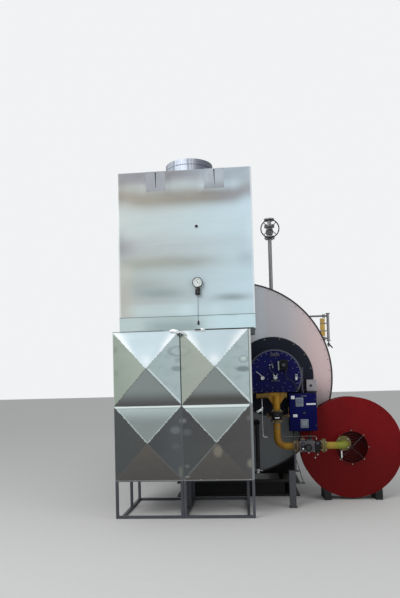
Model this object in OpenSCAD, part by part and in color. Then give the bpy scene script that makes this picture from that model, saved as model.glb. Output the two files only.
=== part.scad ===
// Horizontal shell boiler with a duct-fed gas burner and a free-standing flue gas casing in front of it.
// Millimetres, +Z up, +Y from the burner end to the rear, +X to the right seen from the burner end.
// The origin is on the floor under the shell's axis, at the outer face of its front plate.

/* [Boiler shell] */
// Outer radius of the clad shell
shell_r = 1350; // [1200:10:1500]
// Length over both end plates
shell_len = 5500; // [4500:50:7000]
// Thickness of cladding, insulation and pressure shell together
shell_wall = 120; // [60:5:160]
// Thickness of each clad end plate
end_t = 60; // [40:5:80]
// Number of cladding straps round the shell
strap_count = 5; // [2:1:7]
// Width of a cladding strap
strap_w = 60; // [30:5:90]
// Height of a cladding strap over the cladding
strap_t = 4; // [2:1:8]
// Radial width of the dark trim ring round an end plate
trim_w = 15; // [8:1:25]
// How far a trim ring stands out over its end plate
trim_proud = 8; // [3:1:15]

/* [Base] */
// Distance between the two skid beams' webs
skid_gauge = 1500; // [1200:20:1700]
// Height of the skid beams
skid_h = 200; // [160:10:240]
// Clearance between the skid beams and the shell's underside
shell_lift = 95; // [60:5:200]
// Flange width of the skid beams
skid_w = 200; // [140:10:240]
// Flange thickness of the skid beams
skid_flange = 15; // [10:1:20]
// Web thickness of the skid beams
skid_web = 10; // [8:1:15]
// Number of saddles under the shell
saddle_count = 3; // [2:1:4]
// Thickness of a saddle plate along the shell
saddle_t = 160; // [100:10:220]
// Distance of the outer saddles' middles from the ends
saddle_inset = 700; // [500:50:1000]
// How far the front cross beam reaches ahead of the front plate
skid_lead = 60; // [0:10:100]

/* [Burner] */
// Sideways place of the burner's axis
burner_x = 531; // [450:1:600]
// Height of the burner's axis over the shell's axis
burner_rise = 3; // [-40:1:60]
// Radius of the black mounting plate
plate_r = 555; // [500:5:600]
// Thickness of the black mounting plate
plate_t = 50; // [20:5:80]
// Number of bolts round the mounting plate
plate_bolts = 16; // [8:4:24]
// Radius of the blue burner head's front cover
head_r = 357; // [320:1:400]
// Distance of the head's front face from the boiler's front plate
head_reach = 480; // [400:10:560]
// Thickness of the head's front cover
cover_t = 34; // [20:1:50]
// How much smaller the drum behind the cover is
drum_step = 17; // [10:1:30]
// Width of the grey rim round the front cover
rim_w = 20; // [8:1:24]
// Distance of the head's flat underside from its axis
head_cut = 212; // [180:1:260]

/* [Fan] */
// Sideways place of the fan's axis
fan_x = 1520; // [1480:10:1650]
// Height of the fan's axis
fan_z = 690; // [680:5:760]
// Radius of the volute opposite its outlet
fan_r = 650; // [560:5:670]
// Depth of the volute
fan_depth = 280; // [200:10:320]
// Distance of the volute's front face from the boiler's front plate
fan_reach = 330; // [325:5:380]
// Radius of the air inlet
inlet_r = 210; // [150:5:260]
// Width of the air duct
duct_w = 210; // [160:5:230]
// Depth of the air duct
duct_d = 250; // [180:10:270]
// Height of the flange between volute and duct
duct_joint_z = 1215; // [1210:5:1300]
// Sheet thickness of volute and duct
sheet_t = 5; // [3:1:8]
// Radius of the fan motor
motor_r = 165; // [120:5:200]
// Length of the fan motor
motor_len = 430; // [300:10:520]

/* [Control cabinet] */
// Left edge of the cabinet
cab_x = 706; // [690:2:740]
// Distance of the cabinet's underside below the burner's axis
cab_drop = 716; // [690:2:740]
// Width of the cabinet
cab_w = 352; // [300:2:380]
// Height of the cabinet
cab_h = 485; // [420:5:500]
// Depth of the cabinet without its door
cab_d = 180; // [140:5:190]
// Thickness of the cabinet's door
door_t = 20; // [12:1:30]
// How far the cabinet's door leaf stays inside its edges
door_gap = 1; // [0:0.5:2]

/* [Gas train] */
// Outside diameter of the gas pipe
gas_d = 88.9; // [76.1:0.1:101.6]
// Wall of the gas pipe
gas_wall = 4; // [3:0.5:6]
// Distance of the gas train from the boiler's front plate
gas_reach = 740; // [700:5:780]
// Height of the level gas run
gas_z = 764; // [700:2:800]
// Bend radius of the gas elbows
gas_bend = 114; // [95:1:130]
// Diameter of the gas flanges
gas_flange_d = 190; // [180:5:210]
// Thickness of a gas flange
gas_flange_t = 20; // [14:1:26]
// Bolt circle of the gas flanges
gas_pcd = 150; // [140:1:155]
// Bolt hole diameter of the gas flanges
gas_hole_d = 18; // [14:1:20]
// Left end of the first gas flange after the elbow
gas_block_x = 723; // [715:1:760]
// Length from the first gas flange to the second
gas_block_len = 414; // [380:2:440]
// Length of the level pipe after the second gas flange
gas_run = 134; // [120:2:320]

/* [Flue gas casing] */
// Left edge of the lower casing
casing_x = -1426; // [-1500:2:-1400]
// Width of the lower casing
casing_w = 1654; // [1600:2:1700]
// Distance of the casing's front from the boiler's front plate
casing_reach = 1300; // [1250:10:1400]
// Depth of both casings
casing_d = 1050; // [950:10:1100]
// Height of the legs under the lower casing
leg_h = 443; // [380:1:520]
// Height of the lower casing's panels
lower_h = 1774; // [1600:2:1900]
// Height of the upper casing
upper_h = 1928; // [1700:2:2100]
// How far the upper casing stands to the right of the lower one
upper_shift = 89; // [60:1:110]
// How much narrower the upper casing is
upper_less = 27; // [0:1:60]
// Thickness of the insulated casing walls
casing_t = 60; // [40:2:80]
// Thickness of the flat rails between the legs and the casing
rail_t = 8; // [5:1:12]
// Height of the pyramids on the front panels
pyramid_rise = 62; // [30:2:80]
// Height of the cross breaks on the side and rear panels
break_rise = 14; // [6:1:20]
// How far the body behind the front panels stands in from their outer edges
body_inset = 66; // [60:1:90]
// Flat rim round each pyramid
panel_rim = 7; // [4:1:30]
// Flat strip along the right edge of the right panels
panel_strip = 26; // [10:1:40]
// Visible gap between neighbouring panels
panel_gap = 4; // [2:1:8]
// Side of the leg frames' square tube
leg_w = 32; // [25:1:45]
// Height of the band at the foot of the upper casing
band_h = 166; // [120:2:200]
// Width of the two slots in the upper casing's top edge
slot_w = 14; // [8:1:20]
// Depth of the two slots
slot_h = 200; // [120:5:260]
// Distance of the left slot from the upper casing's left edge
slot_left = 476; // [420:2:520]
// Distance of the right slot from the upper casing's left edge
slot_right = 1183; // [1100:2:1250]
// Width of the cover sheets behind the slots
slot_cover_w = 240; // [160:5:300]
// Outer radius of the round flue spigot
spigot_r = 300; // [250:5:340]
// Height of the flue spigot
spigot_h = 220; // [150:5:300]
// Sheet thickness of the flue spigot
spigot_t = 4; // [3:1:8]
// Distance of the spigot's axis from the upper casing's left edge
spigot_x = 841; // [780:1:900]
// Distance of the spigot's axis behind the casing's front
spigot_y = 500; // [450:5:550]

/* [Flue duct] */
// Left edge of the duct between boiler and casing
flue_x = -960; // [-1000:10:-900]
// Width of the flue duct
flue_w = 880; // [700:10:900]
// Underside of the flue duct
flue_z = 1050; // [1000:10:1200]
// Distance of the flue duct's top below the lower casing's top
flue_drop = 47; // [46:1:120]
// Wall of the flue duct
flue_wall = 40; // [20:2:60]
// Width of the flue duct's flanges
flue_flange = 45; // [30:1:60]

/* [Gauges and valves] */
// Radius of the dial thermometer
dial_r = 62; // [45:1:80]
// Distance of the dial from the upper casing's left edge
dial_x = 955; // [900:1:1000]
// Height of the dial over the upper casing's foot
dial_rise = 555; // [420:5:700]
// Sideways place of the small steam riser
riser_x = 594; // [500:2:650]
// Distance of the small steam riser from the front plate
riser_y = 1100; // [900:10:1300]
// Outside diameter of the small steam riser
riser_d = 60.3; // [48.3:0.1:76.1]
// Height of the small steam valve's axis over the shell's axis
riser_rise = 2341; // [2150:1:2400]
// Radius of the valve's handwheel
wheel_r = 150; // [110:5:170]
// Distance of the main steam nozzle from the front plate
steam_y = 2600; // [2300:50:2900]
// Outside diameter of the main steam nozzle
steam_d = 168.3; // [139.7:0.1:219.1]
// Height of the main steam nozzle over the shell
steam_h = 260; // [200:10:320]
// Distance of the safety valve from the front plate
safety_y = 3400; // [3200:50:3600]
// Distance of the manhole from the rear end
manhole_back = 1250; // [1100:50:1400]
// Radius of the manhole's neck
manhole_r = 225; // [200:5:260]
// Radius of the rear inspection door
door_r = 380; // [300:10:450]
// Distance of the level gauge from the front plate
gauge_y = 400; // [300:10:600]
// Height of the level gauge's lower cock over the shell's axis
gauge_rise = 545; // [480:5:600]
// Distance between the level gauge's cocks
gauge_span = 330; // [280:5:380]
// Distance of the feed water nozzle from the front plate
feed_y = 2100; // [1700:50:2500]
// Height of the feed water nozzle over the shell's axis
feed_rise = 300; // [150:10:450]
// Distance of the blowdown valve from the rear end
blowdown_back = 260; // [200:5:400]
// Distance of the blowdown valve's axis below the shell
blowdown_drop = 105; // [80:5:110]
// Sideways place of the drain pipe on the front plate
drain_x = 287; // [275:1:300]
// Outer radius of the drain pipe
drain_r = 27; // [17:1:30]

/* [Hidden] */

$fn = 96;
// Running clearance at a curved seat
seat = 0.3;
// Oversize of a cutting tool past the faces it cuts
eps = 1;

// Colours
c_clad = [0.62, 0.62, 0.62];
c_dark = [0.12, 0.12, 0.13];
c_steel = [0.35, 0.37, 0.40];
c_galv = [0.75, 0.79, 0.80];
c_blue = [0.07, 0.08, 0.40];
c_red = [0.42, 0.04, 0.06];
c_yellow = [0.85, 0.62, 0.05];
c_grey = [0.55, 0.57, 0.58];
c_brass = [0.62, 0.48, 0.22];

// Shell and ends
shell_z = skid_h + shell_lift + shell_r;
shell_low = shell_z - shell_r;
clad_end = shell_r - trim_w;
shell_in = shell_r - shell_wall;
barrel_len = shell_len - 2 * end_t;
strap_pitch = barrel_len / (strap_count + 1);

// Casing planes
casing_y = -casing_reach;
casing_back = casing_y + casing_d;
casing_right = casing_x + casing_w;
panel_w = (casing_w - panel_strip - panel_gap) / 2;
seam_x = casing_x + panel_w + panel_gap / 2;
lower_top = leg_h + lower_h;
lower_mid = leg_h + lower_h / 2;
deck_t = 8;
upper_z = lower_top + deck_t;
upper_top = upper_z + upper_h;
upper_x = casing_x + upper_shift;
upper_w = casing_w - upper_less;
upper_right = upper_x + upper_w;
body_x = casing_x + body_inset;
body_right = casing_right - body_inset;
dial_z = upper_z + dial_rise;
riser_valve_z = shell_z + riser_rise;

// Flue duct
flue_right = flue_x + flue_w;
flue_top = lower_top - flue_drop;

// Burner
burner_z = shell_z + burner_rise;
head_y = -head_reach;
drum_r = head_r - drum_step;

// Fan and duct
fan_y = -fan_reach;
fan_back = fan_y + fan_depth;
duct_x = fan_x - fan_r;
duct_y = fan_y;
duct_drop = 58;
duct_top_z = burner_z - duct_drop;
duct_side_h = 150;
flange_t = 8;
flange_lip = 25;

// Cabinet
cab_z = burner_z - cab_drop;
cab_back = fan_y - 30;
cab_y = cab_back - cab_d;

// Gas train
gas_y = -gas_reach;
gas_r = gas_d / 2;
gas_bore = gas_d - 2 * gas_wall;
manifold_d = 60.3;
manifold_cap = 6;
manifold_z = burner_z - head_cut - manifold_d / 2 - manifold_cap;
manifold_left = 249;
manifold_right = 136;
valve_drop = 206;
valve_top = manifold_z - valve_drop;
valve_h = 114;
valve_flange_r = 80;
gas_end = gas_block_x + gas_block_len;

// Shell steam fittings
spindle_r = 10;
wheel_y = riser_y - 205;
function shell_top(x) = shell_z + sqrt(shell_r * shell_r - x * x);
function shell_side(z) = sqrt(shell_r * shell_r - (z - shell_z) * (z - shell_z));

// Box from its lowest to its highest corner
module block(low, high) {
    translate(low) cube(high - low);
}

// Cylinder along Y between two places
module y_rod(r, x, z, y0, y1) {
    translate([x, y0, z]) rotate([-90, 0, 0]) cylinder(r = r, h = y1 - y0);
}

// Cylinder along X between two places
module x_rod(r, y, z, x0, x1) {
    translate([x0, y, z]) rotate([0, 90, 0]) cylinder(r = r, h = x1 - x0);
}

// Cylinder along Z between two places
module z_rod(r, x, y, z0, z1) {
    translate([x, y, z0]) cylinder(r = r, h = z1 - z0);
}

// Space that the shell takes, with its running clearance
module shell_space() {
    y_rod(shell_r + seat, 0, shell_z, -eps, shell_len + eps, $fn = 360);
}

// Round flange along +Z from its lower face, with a bore and a circle of bolt holes
module flange(d, t, bore, pcd, count, hole, turn = 0) {
    difference() {
        cylinder(d = d, h = t);
        translate([0, 0, -eps]) cylinder(d = bore, h = t + 2 * eps);
        for (i = [0 : count - 1])
            rotate([0, 0, turn + i * 360 / count])
                translate([pcd / 2, 0, -eps])
                    cylinder(d = hole, h = t + 2 * eps, $fn = 32);
    }
}

// Quarter pipe bend in the XZ plane about its centre of bend
module bend(r_bend, d, bore, from_angle) {
    rotate([90, 0, 0])
        rotate([0, 0, from_angle])
            rotate_extrude(angle = 90)
                translate([r_bend, 0])
                    difference() {
                        circle(d = d);
                        circle(d = bore);
                    }
}

// Shell and its ends
module shell() {
    color(c_clad)
        translate([0, end_t, shell_z])
            rotate([-90, 0, 0])
                difference() {
                    union() {
                        cylinder(r = shell_r, h = barrel_len, $fn = 128);
                        for (i = [1 : strap_count])
                            translate([0, 0, i * strap_pitch - strap_w / 2])
                                cylinder(r = shell_r + strap_t, h = strap_w, $fn = 128);
                    }
                    translate([0, 0, -eps])
                        cylinder(r = shell_in, h = barrel_len + 2 * eps, $fn = 128);
                }
}

module front_plate() {
    throat_r = head_r - 30;
    color(c_clad)
        difference() {
            y_rod(clad_end, 0, shell_z, 0, end_t, $fn = 128);
            y_rod(throat_r, burner_x, burner_z, -eps, end_t + eps);
            flue_opening(-eps, end_t + eps);
        }
}

module rear_plate() {
    color(c_clad)
        y_rod(clad_end, 0, shell_z, shell_len - end_t, shell_len, $fn = 128);
}

// Trim ring round an end plate, from its inner to its outer face
module trim_ring(y0, y1) {
    color(c_dark)
        difference() {
            y_rod(shell_r + strap_t, 0, shell_z, y0, y1, $fn = 128);
            y_rod(clad_end + seat, 0, shell_z, y0 - eps, y1 + eps, $fn = 128);
        }
}

module front_trim() {
    trim_ring(-trim_proud, end_t);
}

module rear_trim() {
    trim_ring(shell_len - end_t, shell_len + trim_proud);
}

// Hinged inspection door of the rear turning chamber, shut, with its lugs and sight tube
module rear_door() {
    door_z = shell_z - 250;
    leaf_t = 45;
    boss_t = 25;
    sight_r = 45;
    sight_len = 80;
    lug = 70;
    lug_t = 60;
    front = shell_len + leaf_t + boss_t;
    color(c_steel) {
        y_rod(door_r, 0, door_z, shell_len, shell_len + leaf_t);
        y_rod(door_r - 60, 0, door_z, shell_len + leaf_t, front);
        y_rod(sight_r, 0, door_z + door_r / 3, front, front + sight_len);
        for (side = [-1, 1])
            translate([side * (door_r - 10), shell_len, door_z])
                block([-lug / 2, 0, -lug / 2], [lug / 2, lug_t, lug / 2]);
    }
}

// Base
module saddles() {
    saddle_half = skid_gauge / 2 + skid_w / 2;
    spread = shell_len - 2 * saddle_inset;
    saddle_rise = shell_r * 0.38;
    color(c_steel)
        for (i = [0 : saddle_count - 1])
            difference() {
                translate([0, saddle_inset + i * spread / (saddle_count - 1) - saddle_t / 2, 0])
                    block([-saddle_half, 0, skid_h], [saddle_half, saddle_t, shell_low + saddle_rise]);
                y_rod(shell_r + strap_t + seat, 0, shell_z, -eps, shell_len + eps, $fn = 128);
            }
}

// Rolled beam section along Y, centred on x = 0, standing on the floor
module beam_section() {
    difference() {
        translate([-skid_w / 2, 0]) square([skid_w, skid_h]);
        for (side = [-1, 1])
            translate([side * (skid_w / 4 + skid_web / 4), skid_h / 2])
                square([skid_w / 2 - skid_web / 2, skid_h - 2 * skid_flange], center = true);
    }
}

module skid_beams() {
    color(c_steel)
        for (side = [-1, 1])
            translate([side * skid_gauge / 2, shell_len, 0])
                rotate([90, 0, 0])
                    linear_extrude(shell_len + skid_lead) beam_section();
}

// Beams across between the two skid beams, at the front, under the middle and under the rear saddle
module cross_beams() {
    inside = skid_gauge / 2 - skid_w / 2;
    color(c_steel)
        for (y = [skid_w / 2 - skid_lead, shell_len / 2, shell_len - saddle_inset])
            translate([-inside, y, 0])
                rotate([90, 0, 90])
                    linear_extrude(2 * inside) beam_section();
}

// Opening of the flue duct between two planes
module flue_opening(y0, y1) {
    block([flue_x + flue_wall, y0, flue_z + flue_wall],
          [flue_right - flue_wall, y1, flue_top - flue_wall]);
}

// Short insulated duct that carries the flue gas from the boiler's front into the casing
module flue_duct() {
    flange_d = 10;
    color(c_galv)
        difference() {
            union() {
                block([flue_x, casing_back, flue_z], [flue_right, 0, flue_top]);
                for (y = [casing_back, -flange_d])
                    block([flue_x - flue_flange, y, flue_z - flue_flange],
                          [flue_right + flue_flange, y + flange_d, flue_top + flue_flange]);
            }
            flue_opening(casing_back - eps, eps);
            y_rod(plate_r + seat, burner_x, burner_z, -plate_t - eps, eps);
        }
}

// Main steam nozzle with its flange
module main_steam_nozzle() {
    top = shell_top(0) + steam_h;
    pipe_t = 7;
    bore = steam_d - 2 * pipe_t;
    plate = 24;
    color(c_steel)
        difference() {
            union() {
                z_rod(steam_d / 2, 0, steam_y, shell_z, top);
                translate([0, steam_y, top - plate]) flange(285, plate, bore, 240, 8, 22, 22.5);
            }
            z_rod(bore / 2, 0, steam_y, shell_z - eps, top + eps);
            shell_space();
        }
}

// Small steam riser with its globe valve body, bonnet and spindle
module steam_riser() {
    body_r = 62;
    half_h = 110;
    plate = 18;
    bonnet_r = 34;
    bonnet_y = riser_y - 120;
    top = riser_valve_z + half_h + 100;
    bore = riser_d - 8;
    color(c_grey)
        difference() {
            union() {
                z_rod(riser_d / 2, riser_x, riser_y, shell_z, top);
                translate([riser_x, riser_y, top - plate]) flange(165, plate, bore, 125, 4, 18, 45);
                for (z = [riser_valve_z - half_h, riser_valve_z + half_h - 2 * plate])
                    for (face = [0, plate + 2])
                        z_rod(82, riser_x, riser_y, z + face, z + face + plate - 2);
                for (z = [riser_valve_z - half_h, riser_valve_z + half_h - 2 * plate])
                    z_rod(44, riser_x, riser_y, z, z + 2 * plate);
                translate([riser_x, riser_y, riser_valve_z])
                    rotate_extrude()
                        intersection() {
                            union() {
                                scale([1, 1.15]) circle(r = body_r);
                                translate([0, -half_h]) square([bonnet_r + 6, 2 * half_h]);
                            }
                            translate([0, -half_h]) square([2 * body_r, 2 * half_h]);
                        }
                y_rod(bonnet_r, riser_x, riser_valve_z, bonnet_y, riser_y);
                y_rod(54, riser_x, riser_valve_z, bonnet_y + 28, bonnet_y + 46);
                y_rod(18, riser_x, riser_valve_z, bonnet_y - 34, bonnet_y);
                y_rod(spindle_r, riser_x, riser_valve_z, wheel_y - 12, bonnet_y);
            }
            z_rod(bore / 2, riser_x, riser_y, top - 60, top + eps);
            shell_space();
        }
}

// Spoked handwheel on the stop valve's spindle
module handwheel() {
    rim = 9;
    hub_r = 22;
    hub_t = 28;
    spoke_r = 6;
    color(c_dark)
        translate([riser_x, wheel_y, riser_valve_z])
            rotate([90, 0, 0]) {
                rotate_extrude() translate([wheel_r - rim, 0]) circle(r = rim, $fn = 24);
                difference() {
                    union() {
                        translate([0, 0, -hub_t / 2]) cylinder(r = hub_r, h = hub_t);
                        for (i = [0 : 3])
                            rotate([0, 0, 45 + i * 90])
                                translate([hub_r - spoke_r, 0, 0])
                                    rotate([0, 90, 0])
                                        cylinder(r = spoke_r, h = wheel_r - rim - hub_r + 4, $fn = 24);
                    }
                    translate([0, 0, -hub_t]) cylinder(r = spindle_r + seat, h = 2 * hub_t);
                }
            }
}

// Spring safety valve on its own nozzle, with its bonnet, cap and side outlet
module safety_valve() {
    neck_r = 38;
    inlet_z = shell_top(0) + 120;
    outlet_z = inlet_z + 80;
    bonnet_z = outlet_z + 60;
    cap_z = bonnet_z + 210;
    outlet_x = 150;
    outlet_bore = 42;
    color(c_steel)
        difference() {
            translate([0, safety_y, 0]) {
                z_rod(neck_r, 0, 0, shell_z, inlet_z);
                for (z = [inlet_z, inlet_z + 24])
                    z_rod(82, 0, 0, z, z + 20);
                z_rod(neck_r + 10, 0, 0, inlet_z, inlet_z + 60);
                translate([0, 0, outlet_z]) sphere(r = 72);
                z_rod(75, 0, 0, bonnet_z, bonnet_z + 18);
                translate([0, 0, bonnet_z + 18]) cylinder(r1 = 58, r2 = 44, h = cap_z - bonnet_z - 18);
                z_rod(26, 0, 0, cap_z, cap_z + 50);
                x_rod(52, 0, outlet_z, 0, outlet_x);
                x_rod(100, 0, outlet_z, outlet_x - 20, outlet_x);
            }
            x_rod(outlet_bore, safety_y, outlet_z, 60, outlet_x + eps);
            shell_space();
        }
}

// Manhole neck with its cover and the yoke over it
module manhole() {
    y = shell_len - manhole_back;
    neck_h = 130;
    top = shell_top(0) + neck_h;
    ring_w = 45;
    ring_t = 30;
    cover_w = 20;
    cover_h = 28;
    yoke_t = 25;
    yoke_h = 40;
    color(c_steel)
        difference() {
            union() {
                z_rod(manhole_r, 0, y, shell_z, top);
                z_rod(manhole_r + ring_w, 0, y, top - ring_t, top);
                z_rod(manhole_r + cover_w, 0, y, top, top + cover_h);
                block([-manhole_r, y - yoke_t, top + cover_h], [manhole_r, y + yoke_t, top + cover_h + yoke_h]);
                z_rod(24, 0, y, top + cover_h, top + cover_h + yoke_h + 30);
            }
            shell_space();
        }
}

// Water level gauge beside the front of the shell: its column, two cocks, yellow indicator and drain lever
module level_gauge() {
    column_r = 20;
    column_x = shell_r + 22;
    tail = 40;
    plate_h = 12;
    low = shell_z + gauge_rise;
    high = low + gauge_span;
    indicator_w = 70;
    indicator_gap = 25;
    indicator_x = column_x - column_r - indicator_gap - indicator_w;
    indicator_end = 36;
    branch_r = 14;
    cock_r = 30;
    cock_w = 30;
    drain_z = low - tail - 50;
    lever_y = gauge_y - 52;
    lever_len = 100;
    color(c_grey)
        difference() {
            union() {
                z_rod(column_r, column_x, gauge_y, low - tail, high + tail);
                for (z = [low - tail, high + tail - plate_h])
                    z_rod(column_r + 12, column_x, gauge_y, z, z + plate_h);
                for (z = [low, high]) {
                    x_rod(branch_r, gauge_y, z, shell_r / 2, column_x);
                    x_rod(cock_r, gauge_y, z, column_x - 45 - cock_w, column_x - 45);
                }
                for (z = [low + gauge_span / 3, high - gauge_span / 3])
                    block([indicator_x, gauge_y - 8, z - 8], [column_x, gauge_y + 8, z + 8]);
                z_rod(10, column_x, gauge_y, drain_z - 35, low - tail);
                translate([column_x, gauge_y, drain_z]) sphere(r = 22);
                y_rod(7, column_x, drain_z, lever_y, gauge_y);
            }
            shell_space();
        }
    color(c_brass)
        block([indicator_x, gauge_y - 14, low + indicator_end],
              [indicator_x + indicator_w, gauge_y + 14, high - indicator_end]);
    color(c_dark)
        translate([column_x, lever_y, drain_z])
            rotate([0, 50, 0])
                block([-25, -6, -9], [lever_len - 25, 6, 9]);
}

// Feed water nozzle on the left flank of the shell
module feed_nozzle() {
    z = shell_z + feed_rise;
    reach = shell_side(z) + 190;
    pipe_r = 30;
    bore_r = 26;
    color(c_steel)
        difference() {
            union() {
                x_rod(pipe_r, feed_y, z, -reach, -shell_r / 2);
                translate([-reach, feed_y, z]) rotate([0, 90, 0]) flange(165, 20, 2 * bore_r, 125, 4, 18, 45);
            }
            x_rod(bore_r, feed_y, z, -reach - eps, -reach + 120);
            shell_space();
        }
}

// Blowdown valve under the rear of the shell
module blowdown_valve() {
    y = shell_len - blowdown_back;
    z = shell_low - blowdown_drop;
    pipe_r = 24;
    reach = 240;
    plate = 18;
    lever = 150;
    color(c_steel)
        difference() {
            union() {
                z_rod(pipe_r, 0, y, z, shell_z);
                translate([0, y, z]) sphere(r = 55);
                y_rod(pipe_r, 0, z, y, y + reach);
                y_rod(75, 0, z, y + reach, y + reach + plate);
                x_rod(10, y, z, 0, lever);
                block([lever - 12, y - 12, z - 60], [lever, y + 12, z + 60]);
            }
            y_rod(pipe_r - 4, 0, z, y + 150, y + reach + plate + eps);
            shell_space();
        }
}

// Burner
module burner_plate() {
    bolt_inset = 26;
    bolt_d = 30;
    bolt_h = 16;
    throat_r = head_r - 60;
    color(c_dark)
        difference() {
            union() {
                y_rod(plate_r, burner_x, burner_z, -plate_t, 0);
                for (i = [0 : plate_bolts - 1])
                    translate([burner_x, -plate_t, burner_z])
                        rotate([90, 360 * (i + 0.5) / plate_bolts, 0])
                            translate([plate_r - bolt_inset, 0, 0])
                                cylinder(d = bolt_d, h = bolt_h, $fn = 6);
            }
            y_rod(throat_r, burner_x, burner_z, -plate_t - eps, eps);
        }
}

// Round profile with a flat cut across its underside
module cut_disc(r) {
    intersection() {
        circle(r = r);
        translate([-r, -head_cut]) square([2 * r, r + head_cut]);
    }
}

// Prism along Y with a cut disc as its section
module cut_drum(r, y0, y1) {
    translate([burner_x, y1, burner_z])
        rotate([90, 0, 0])
            linear_extrude(y1 - y0) cut_disc(r);
}

module burner_head() {
    color(c_blue) {
        cut_drum(drum_r, head_y + cover_t, -plate_t);
        cut_drum(head_r - rim_w - seat, head_y, head_y + cover_t);
    }
}

module burner_rim() {
    rim_proud = 4;
    color(c_grey)
        translate([burner_x, head_y + cover_t, burner_z])
            rotate([90, 0, 0])
                linear_extrude(cover_t + rim_proud)
                    difference() {
                        cut_disc(head_r);
                        cut_disc(head_r - rim_w);
                        translate([-head_r, -head_cut - eps])
                            square([2 * head_r, rim_w + eps]);
                    }
}

// Servo motor, linkage plate, sight port and detector on the head's front
module burner_fittings() {
    x = burner_x;
    z = burner_z;
    servo = [110, 110, 134];
    servo_x = x + 62;
    servo_z = z + 78;
    link = [16, 60, 120];
    detector_r = 28;
    detector_len = 70;
    sight_r = 20;
    sight_len = 90;
    collar_r = 34;
    collar_len = 40;
    nipple_r = 14;
    nipple_len = 30;
    blank = [140, 12, 50];
    color(c_dark) {
        translate([servo_x, head_y - servo[1], servo_z]) cube(servo);
        y_rod(collar_r, servo_x + servo[0] / 2, servo_z + servo[2] / 2, head_y - servo[1] - 18, head_y - servo[1]);
    }
    color(c_galv) {
        translate([servo_x - link[0] - 6, head_y - link[1], servo_z + 2]) cube(link);
        y_rod(detector_r, x - 158, z - 18, head_y - detector_len, head_y);
        y_rod(sight_r, x + 8, z - 16, head_y - sight_len, head_y);
        y_rod(collar_r, x + 8, z - 16, head_y - collar_len, head_y);
        block([x + 268, head_y - 26, z - 55], [x + 296, head_y, z + 20]);
        for (place = [[-60, 150], [-20, 120]])
            y_rod(nipple_r, x + place[0], z + place[1], head_y - nipple_len, head_y);
    }
    color(c_blue)
        translate([x + 8 - blank[0] / 2, head_y - blank[1], z + 262]) cube(blank);
    hinge_post();
}

// Round post on which the burner head swings, with its two lugs on the drum
module hinge_post() {
    post_r = 16;
    post_gap = 2;
    post_x = burner_x + drum_r + post_r + post_gap;
    post_y = head_y + cover_t + post_r + post_gap;
    post_low = 200;
    post_high = 95;
    lug_h = 26;
    color(c_grey)
        difference() {
            union() {
                z_rod(post_r, post_x, post_y, burner_z - post_low, burner_z + post_high);
                z_rod(post_r + 5, post_x, post_y, burner_z + post_high, burner_z + post_high + 12);
                for (z = [burner_z - 70, burner_z + 50])
                    block([burner_x + drum_r / 2, post_y - post_r + 4, z], [post_x, post_y + post_r - 4, z + lug_h]);
            }
            y_rod(drum_r + seat, burner_x, burner_z, head_y, 0);
        }
}

// Ignition transformer box in front of the air duct
module ignition_box() {
    box = [125, 90, 144];
    box_x = duct_x + 82;
    box_z = duct_top_z - box[2];
    strip_h = 28;
    strip_lip = 4;
    knob_r = 16;
    knob_len = 16;
    color(c_grey) {
        translate([box_x, duct_y - box[1], box_z]) cube(box);
        y_rod(knob_r, box_x + 70, box_z + 70, duct_y - box[1] - knob_len, duct_y - box[1]);
    }
    color(c_dark)
        block([box_x - strip_lip, duct_y - box[1] + 8, box_z - strip_h],
              [box_x + box[0] + strip_lip, duct_y, box_z]);
}

// Sheet metal duct from the volute's outlet up and left into the burner head
module air_duct() {
    color(c_red)
        difference() {
            union() {
                block([duct_x, duct_y, duct_joint_z], [duct_x + duct_w, duct_y + duct_d, duct_top_z]);
                block([burner_x, duct_y, duct_top_z - duct_side_h],
                      [duct_x + duct_w, duct_y + duct_d, duct_top_z]);
                block([duct_x - flange_lip, duct_y, duct_joint_z],
                      [duct_x + duct_w + flange_lip, duct_y + duct_d + flange_lip, duct_joint_z + flange_t]);
            }
            block([duct_x + sheet_t, duct_y + sheet_t, duct_joint_z - eps],
                  [duct_x + duct_w - sheet_t, duct_y + duct_d - sheet_t, duct_top_z - sheet_t]);
            block([burner_x, duct_y + sheet_t, duct_top_z - duct_side_h + sheet_t],
                  [duct_x + sheet_t + eps, duct_y + duct_d - sheet_t, duct_top_z - sheet_t]);
            y_rod(drum_r + seat, burner_x, burner_z, head_y, eps);
            cut_drum_space();
        }
}

// Space to the left of the burner head's right flank, which the duct stays out of
module cut_drum_space() {
    block([burner_x - 2 * drum_r, head_y, burner_z - head_cut - drum_r],
          [burner_x + sqrt(drum_r * drum_r - head_cut * head_cut), eps, burner_z]);
}

// Fan
module volute_outline(grow) {
    translate([fan_x, fan_z]) circle(r = fan_r + grow);
    translate([duct_x - grow, fan_z]) square([duct_w + 2 * grow, duct_joint_z - fan_z - (grow < 0 ? 0 : flange_t)]);
}

module fan_volute() {
    rim_w = 12;
    rim_t = 6;
    inlet_lip = 20;
    inlet_proud = 14;
    color(c_red)
        difference() {
            union() {
                translate([0, fan_back, 0])
                    rotate([90, 0, 0])
                        linear_extrude(fan_depth) volute_outline(0);
                for (y = [fan_y, fan_back])
                    y_rod(fan_r + rim_w, fan_x, fan_z, y, y + rim_t);
                block([duct_x - flange_lip, duct_y, duct_joint_z - flange_t],
                      [duct_x + duct_w + flange_lip, duct_y + duct_d + flange_lip, duct_joint_z]);
                y_rod(inlet_r + inlet_lip, fan_x, fan_z, fan_y - inlet_proud, fan_y);
            }
            translate([0, fan_back - sheet_t, 0])
                rotate([90, 0, 0])
                    linear_extrude(fan_depth - 2 * sheet_t) volute_outline(-sheet_t);
            block([duct_x + sheet_t, duct_y + sheet_t, fan_z],
                  [duct_x + duct_w - sheet_t, duct_y + duct_d - sheet_t, duct_joint_z + eps]);
            y_rod(inlet_r, fan_x, fan_z, fan_y - inlet_proud - eps, fan_y + inlet_lip);
        }
}

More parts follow.
